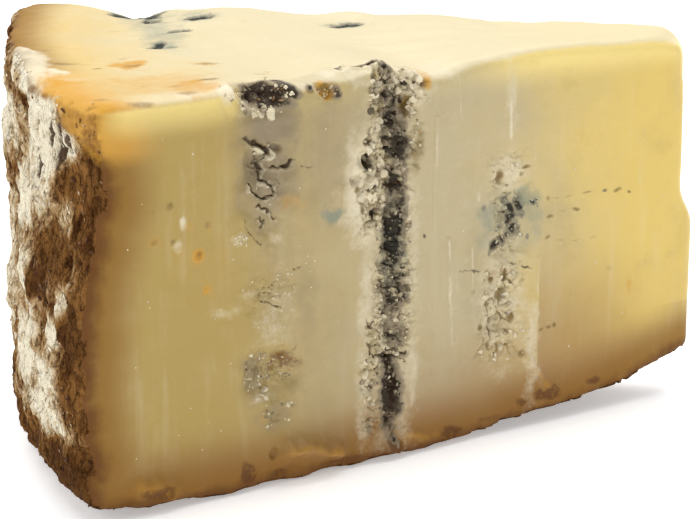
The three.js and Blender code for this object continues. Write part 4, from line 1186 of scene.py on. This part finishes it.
def cheese_finish(colours):
    """Waxy paste, mould and powdery rind in one finish."""
    finish = Finish("cheese")
    place = finish.place()
    mould, pale, blue, stain = finish.field("veins")
    rind, powder, earth, gap = finish.field("crust")
    crack, hollow_mould_and_shade, _, top = finish.field("cuts")
    olive, _, low, gold = finish.field("tints")
    cloud = finish.noise(place, 90.0, 4.0, 0.6)
    patch = finish.noise(place, 260.0, 4.0, 0.6)
    mottle = finish.noise(place, 650.0, 4.0, 0.65)
    speck = finish.noise(place, 2200.0, 3.0, 0.6)

    paste = paste_colour(finish, colours, place, gap, cloud, patch, mottle)
    halo = pale + patch * 0.6 + mottle * 0.5 + speck * 0.35
    paste = finish.lay(paste, colours.pale, 0.9, halo, 0.14, 0.85)
    paste = finish.lay(paste, colours.stain, 0.9, stain + patch * 0.5 + mottle * 0.4, 0.12, 0.8)
    burnt = stain + mottle * 0.6 + speck * 0.4 - top * 0.3
    paste = finish.lay(paste, colours.margin, 0.6, burnt, 0.62, 0.95)
    paste = finish.lay(paste, colours.olive, 0.95, olive + mottle * 0.5 + speck * 0.35, 0.2, 0.9)
    bloom = finish.step(blue + patch * 0.5 + mottle * 0.35, 0.1, 1.0)
    paste = finish.mix(bloom * 0.75, paste, colours.blue)
    rim = gap + patch * 0.2 + cloud * 0.14 + mottle * 0.1 + top * 0.12 + gold * 0.16 + low * 0.07
    paste = finish.lay(paste, colours.margin, 0.9, rim, 0.24, 0.03)
    soil = earth + patch * 0.7 + mottle * 0.8 + speck * 0.3
    soiled = finish.mix(finish.step(mottle + speck * 0.6, 0.0, 0.25), colours.margin, colours.brown)
    paste = finish.lay(paste, soiled, 0.85, soil, 0.36, 0.70)

    ragged = mould + patch * 0.3 + mottle * 0.5 + speck * 0.45
    fringe = finish.mix(bloom * 0.8, colours.mould_grey, colours.blue)
    paste = finish.lay(paste, fringe, 0.9, ragged, 0.18, 0.46)
    black = finish.mix(finish.step(stain, 0.1, 0.6), colours.mould, colours.mould_brown)
    black = finish.mix(bloom, black, colours.mould_green)
    black = finish.lay(black, colours.mould_grey, (1.0 - bloom) * 0.3, mottle + patch * 0.6, 0.0, 0.3)
    paste = finish.mix(finish.step(ragged, 0.52, 0.86), paste, black)
    # Hollows darkened: painted shade, with the dark mould of the torn clefts
    paste = finish.lay(paste, black, 0.8, hollow_mould_and_shade + mottle * 0.4, 0.3, 0.8)
    # Painted shade inside the cracks
    paste = finish.lay(paste, colours.crack, 0.9, crack + mottle * 0.12 + speck * 0.08, 0.54, 0.45)

    upright = finish.drawn_out(place, 800.0, 360.0, 3.0, 0.6)
    crust = finish.mix(finish.step(upright + patch * 0.6, -0.24, 0.1), colours.crust_dark, colours.crust)
    crust = finish.lay(crust, colours.crust_dark, 0.65, earth, 0.3, 1.0)
    crust = finish.mix(gold * 0.95, crust, colours.gold)
    dust = powder + patch * 0.35 + upright * 0.7 + mottle * 0.4 + speck * 0.5
    crust = finish.mix(finish.step(dust, 0.18, 0.6), crust, colours.tan)
    crust = finish.mix(finish.step(dust, 0.42, 0.85), crust, colours.powder)
    # Painted shade along the rind's bumped crevices, over its dark crust
    crease = finish.drawn_out(place, 900.0, 420.0, 2.0, 0.5)
    crevice = finish.step(finish.size(crease) + mottle * 0.12 + powder * 0.03, 0.05, 0.0)
    crust = finish.mix(crevice * (1.0 - gold) * 0.6, crust, colours.crust_dark)
    # Painted shade in the rind's holes
    crust = finish.lay(crust, colours.crust_dark, 0.9, hollow_mould_and_shade + speck * 0.4 + mottle * 0.5, 0.22, 0.5)

    streak = finish.drawn_out(place, 900.0, 90.0, 2.0, 0.6)
    paste_bump = finish.bump(mottle * 0.5 + speck * 0.2 + streak * 0.25 + patch * 0.6, 0.30, 0.0005)
    rind_bump = finish.bump(mottle + speck * 0.6 + dust * 0.25 - crevice * 0.4, 0.9, 0.0010)
    rough = 0.44 + finish.step(ragged, 0.26, 0.5) * 0.4 + finish.step(gap, 0.5, 0.0) * 0.4 + mottle * 0.2
    waxy = finish.surface({
        "Base Color": paste, "Roughness": rough, "Normal": paste_bump, "Specular IOR Level": 0.4})
    dusty = finish.surface({
        "Base Color": crust, "Roughness": 0.95, "Normal": rind_bump, "Specular IOR Level": 0.05})
    crusted = finish.step(rind + mottle * 0.5 - gold * 0.7 + patch * gold, 0.35, 0.65)
    return finish.close(finish.node("ShaderNodeMixShader", None, {0: crusted, 1: waxy, 2: dusty}))


def crumb_finish(colours, name, dark, middle, light):
    """Crumbs from dark to light, with warm and blue ones among them."""
    finish = Finish(name)
    tone, warm, blue, own = finish.field("crumb")
    mottle = finish.noise(finish.place(), 1100.0, 3.0, 0.6)
    # The tone carries each crumb's painted light and shade as well as its own colour
    value = tone + mottle * 0.35
    shade = finish.mix(finish.step(value, 0.1, 0.45), dark, middle)
    shade = finish.mix(finish.step(value, 0.5, 0.85), shade, light)
    warmed = finish.mix(finish.step(value, 0.2, 0.7), colours.crust, colours.stain)
    shade = finish.mix(warm * 0.75, shade, warmed)
    shade = finish.mix(blue * 0.6, shade, colours.blue)
    shade = finish.lay(shade, colours.paste, 0.4, own, 0.5, 1.0)
    bump = finish.bump(mottle, 0.6, 0.0004)
    return finish.close(finish.surface({
        "Base Color": shade, "Roughness": 0.75 + mottle * 0.3, "Normal": bump, "Specular IOR Level": 0.25}))


def floor_finish(colours):
    """Matt pale floor with the faintest unevenness."""
    finish = Finish("studio_floor")
    soft = finish.noise(finish.place(), 3.0, 2.0, 0.55)
    shade = finish.lay(colours.floor, FLOOR_SHADE, 0.02, soft, -0.3, 0.3)
    return finish.close(finish.surface({
        "Base Color": shade, "Roughness": 0.9, "Specular IOR Level": 0.1,
        "Emission Color": (1.0, 1.0, 1.0, 1.0), "Emission Strength": 0.35}))


# Operators

def only(piece):
    bpy.ops.object.select_all(action="DESELECT")
    piece.select_set(True)
    bpy.context.view_layer.objects.active = piece


def apply_modifier(piece, kind, **settings):
    only(piece)
    bpy.ops.object.modifier_add(type=kind)
    modifier = piece.modifiers[-1]
    for name, value in settings.items():
        setattr(modifier, name, value)
    bpy.ops.object.modifier_apply(modifier=modifier.name)


def mesh_piece(name, points, faces):
    """A new mesh object."""
    mesh = bpy.data.meshes.new(name)
    mesh.from_pydata(points, [], faces.tolist())
    piece = bpy.data.objects.new(name, mesh)
    bpy.context.scene.collection.objects.link(piece)
    return piece


def search_tree(pieces):
    """Tree for finding where a line meets any of the pieces."""
    points, faces = [], []
    for piece in pieces:
        first = len(points)
        points.extend(vertex.co.copy() for vertex in piece.data.vertices)
        faces.extend([first + index for index in face.vertices] for face in piece.data.polygons)
    return bvhtree.BVHTree.FromPolygons(points, faces)


def settle(piece, material, sharp=math.pi):
    """Gives a finished piece its material, body and slot, and the angle from which its edges are sharp."""
    piece.data.materials.clear()
    piece.data.materials.append(material)
    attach(piece, BODY)
    only(piece)
    bpy.ops.object.shade_smooth_by_angle(angle=sharp)


class CHEESE_OT_body(bpy.types.Operator):
    """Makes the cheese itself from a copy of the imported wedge"""
    bl_idname = "cheese.body"
    bl_label = "Cheese body"

    def execute(self, context):
        bare = Bare(context)
        skin = Skin(bare.land, bare.gap(bare.land), context.scene.cheese_sizes)
        skin.give(bare.piece.data, under_patches)
        settle(bare.piece, cheese_finish(context.scene.cheese_colours))
        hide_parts(NODE)
        return {"FINISHED"}


class CHEESE_OT_patches(bpy.types.Operator):
    """Lays finer patches of torn, crumbling paste over the veins of both cut faces"""
    bl_idname = "cheese.patches"
    bl_label = "Vein patches"

    def execute(self, context):
        bare = Bare(context)
        tree = search_tree([bare.piece])
        for patch in PATCHES:
            self.make(patch, bare, tree, context.scene.cheese_sizes)
        bpy.data.meshes.remove(bare.piece.data)
        return {"FINISHED"}

    def make(self, patch, bare, tree, sizes):
        grid = patch_grid(patch, bare.wheel, tree)
        rows_up, columns, _ = grid.shape
        facing = np.cross(np.gradient(grid, axis=0), np.gradient(grid, axis=1))
        near = patch.cover.near
        facing *= (1 if near else -1) / np.linalg.norm(facing, axis=2, keepdims=True)
        corner = (np.arange(rows_up - 1)[:, None] * columns + np.arange(columns - 1)).ravel()
        faces = np.stack((corner, corner + columns, corner + columns + 1, corner + 1), axis=1)
        piece = mesh_piece(patch.name, grid.reshape(-1, 3), faces if near else faces[:, ::-1])
        land = Land(grid.reshape(-1, 3), facing.reshape(-1, 3), bare.wheel)

        def border(face, of_near):
            """The stretch's border dips into the body, and the rest lies just above it."""
            dip = 0.10 * (1 - face.inside(patch.cover, 0.0, 1.4)) - 0.03 + 0.02 * (face.at < patch.tuck)
            return dip if of_near == near else np.zeros(face.at.shape)

        Skin(land, bare.gap(land), sizes).give(piece.data, border)
        self.close(piece, bare.wheel.cut(near))
        settle(piece, bpy.data.objects["cheese_body"].data.materials[0], PATCH_CREASE)

    def close(self, piece, cut):
        """Closes a patch behind, inside the body."""
        only(piece)
        bpy.ops.object.mode_set(mode="EDIT")
        bpy.ops.mesh.select_mode(type="EDGE")
        bpy.ops.mesh.select_all(action="DESELECT")
        bpy.ops.mesh.select_non_manifold()
        inward = -cut.out * PATCH_DEPTH - UPWARD * PATCH_DROP
        bpy.ops.mesh.extrude_edges_move(TRANSFORM_OT_translate={"value": inward})
        bpy.ops.mesh.edge_face_add()
        bpy.ops.mesh.select_all(action="SELECT")
        bpy.ops.mesh.normals_make_consistent(inside=False)
        bpy.ops.object.mode_set(mode="OBJECT")


class CHEESE_OT_crumbs(bpy.types.Operator):
    """Lays loose crumbs in the veins of both cut faces and white specks in the paste"""
    bl_idname = "cheese.crumbs"
    bl_label = "Vein crumbs"

    def execute(self, context):
        sizes, colours = context.scene.cheese_sizes, context.scene.cheese_colours
        names = ["cheese_body"] + [patch.name for patch in PATCHES]
        crumbs = Crumbs([bpy.data.objects[name] for name in names], sizes, sizes.seed)
        for heap in NEAR_HEAPS:
            crumbs.heap(heap)
        for _ in range(sizes.white_specks):
            at, up = crumbs.chance.uniform((12, 6), (96, 50))
            crumbs.speck(at, up, crumbs.chance.uniform(0.12, 0.3))
        lowest, highest = FAR_CRUMBS
        for heap in NEAR_HEAPS:
            up = FAR_TURN - heap.up
            if lowest < up - heap.tall and up + heap.tall < highest:
                at = np.interp(heap.at, LIKE_AT, FAR_AT)
                crumbs.heap(heap._replace(at=at, up=up, count=heap.count * 2 // 3), False)
        material = crumb_finish(colours, "vein_crumbs", colours.mould, colours.mould_grey, colours.pale)
        settle(crumbs.join("vein_crumbs"), material, CRUMB_CREASE)
        return {"FINISHED"}


class CHEESE_OT_flakes(bpy.types.Operator):
    """Scatters flakes over the rind"""
    bl_idname = "cheese.flakes"
    bl_label = "Rind flakes"

    def execute(self, context):
        sizes, colours = context.scene.cheese_sizes, context.scene.cheese_colours
        flakes = Crumbs([bpy.data.objects["cheese_body"]], sizes, sizes.seed + 1)
        for _ in range(sizes.rind_flakes):
            degrees, up = flakes.chance.uniform((-19.6, 1.0), (19.6, 52.0))
            place = np.array([degrees]), np.array([up])
            powder = spots(*place, RIND_POWDER, 0.9, sizes.seed + 90)
            soil = spots(*place, RIND_EARTH, 0.9, sizes.seed + 92)
            tone = np.clip(0.45 + 0.5 * (powder - soil)[0] + flakes.chance.normal(0, 0.18), 0, 1)
            size = 0.3 * 3.2 ** (flakes.chance.random() ** 2)
            flakes.flake(math.radians(degrees), up, size, (tone, 0.0, 0.0, flakes.chance.random() * 0.5))
        material = crumb_finish(colours, "rind_flakes", colours.crust_dark, colours.crust, colours.powder)
        settle(flakes.join("rind_flakes"), material, CRUMB_CREASE)
        return {"FINISHED"}


class CHEESE_OT_stage(bpy.types.Operator):
    """Makes the pale floor, the soft lights and the camera"""
    bl_idname = "cheese.stage"
    bl_label = "Studio stage"

    def execute(self, context):
        scene = context.scene
        settings = scene.cheese_stage
        bpy.ops.object.select_all(action="DESELECT")
        bpy.ops.mesh.primitive_plane_add(size=6.0, location=(0.0, 0.0, 0.0))
        floor = context.active_object
        floor.name = "studio_floor"
        floor.data.materials.append(floor_finish(scene.cheese_colours))

        self.light("top_softbox", (0.05, 0.25, 0.70), 0.9, settings.top_power)
        self.light("left_softbox", (-0.75, -0.25, 0.45), 0.7, settings.left_power)
        self.light("point_softbox", (0.55, 0.30, 0.20), 0.3, settings.point_power)
        world = bpy.data.worlds.new("studio_air")
        scene.world = world
        world.use_nodes = True
        air = world.node_tree.nodes["Background"]
        air.inputs["Color"].default_value = (1.0, 1.0, 1.0, 1.0)
        air.inputs["Strength"].default_value = settings.air

        turn = Euler((math.pi / 2 - settings.dip, 0.0, settings.turn))
        away = turn.to_matrix() @ Vector((0.0, 0.0, settings.distance))
        bpy.ops.object.camera_add(location=Vector(settings.focus) + away, rotation=turn)
        camera = context.active_object
        camera.name = "photo_camera"
        camera.data.sensor_fit = "HORIZONTAL"
        camera.data.sensor_width = 36.0
        camera.data.lens = settings.lens
        scene.camera = camera
        scene.view_settings.view_transform = "Standard"
        return {"FINISHED"}

    def light(self, name, place, width, energy):
        """Adds a square softbox that is turned to the wedge."""
        turn = (Vector((0.0, 0.0, 0.03)) - Vector(place)).to_track_quat("-Z", "Y").to_euler()
        bpy.ops.object.light_add(type="AREA", location=place, rotation=turn)
        lamp = bpy.context.active_object
        lamp.name = name
        lamp.data.shape = "SQUARE"
        lamp.data.size = width
        lamp.data.energy = energy


class CHEESE_PT_panel(bpy.types.Panel):
    """Steps that dress the wedge"""
    bl_label = "Blue Cheese Wedge"
    bl_space_type = "VIEW_3D"
    bl_region_type = "UI"
    bl_category = "Cheese"

    def draw(self, context):
        for step in STEPS:
            self.layout.operator(step.bl_idname)


STEPS = (CHEESE_OT_body, CHEESE_OT_patches, CHEESE_OT_crumbs, CHEESE_OT_flakes, CHEESE_OT_stage)
GROUPS = {"cheese_sizes": CheeseSizes, "cheese_colours": CheeseColours, "cheese_stage": StageSettings}


def register():
    for group in GROUPS.values():
        bpy.utils.register_class(group)
    for name, group in GROUPS.items():
        setattr(bpy.types.Scene, name, PointerProperty(type=group))
    for step in STEPS:
        bpy.utils.register_class(step)
    bpy.utils.register_class(CHEESE_PT_panel)


def unregister():
    bpy.utils.unregister_class(CHEESE_PT_panel)
    for step in reversed(STEPS):
        bpy.utils.unregister_class(step)
    for name, group in GROUPS.items():
        delattr(bpy.types.Scene, name)
        bpy.utils.unregister_class(group)


def main():
    register()
    bpy.ops.cheese.body()
    bpy.ops.cheese.patches()
    bpy.ops.cheese.crumbs()
    bpy.ops.cheese.flakes()
    bpy.ops.cheese.stage()


if __name__ == "__main__":
    main()
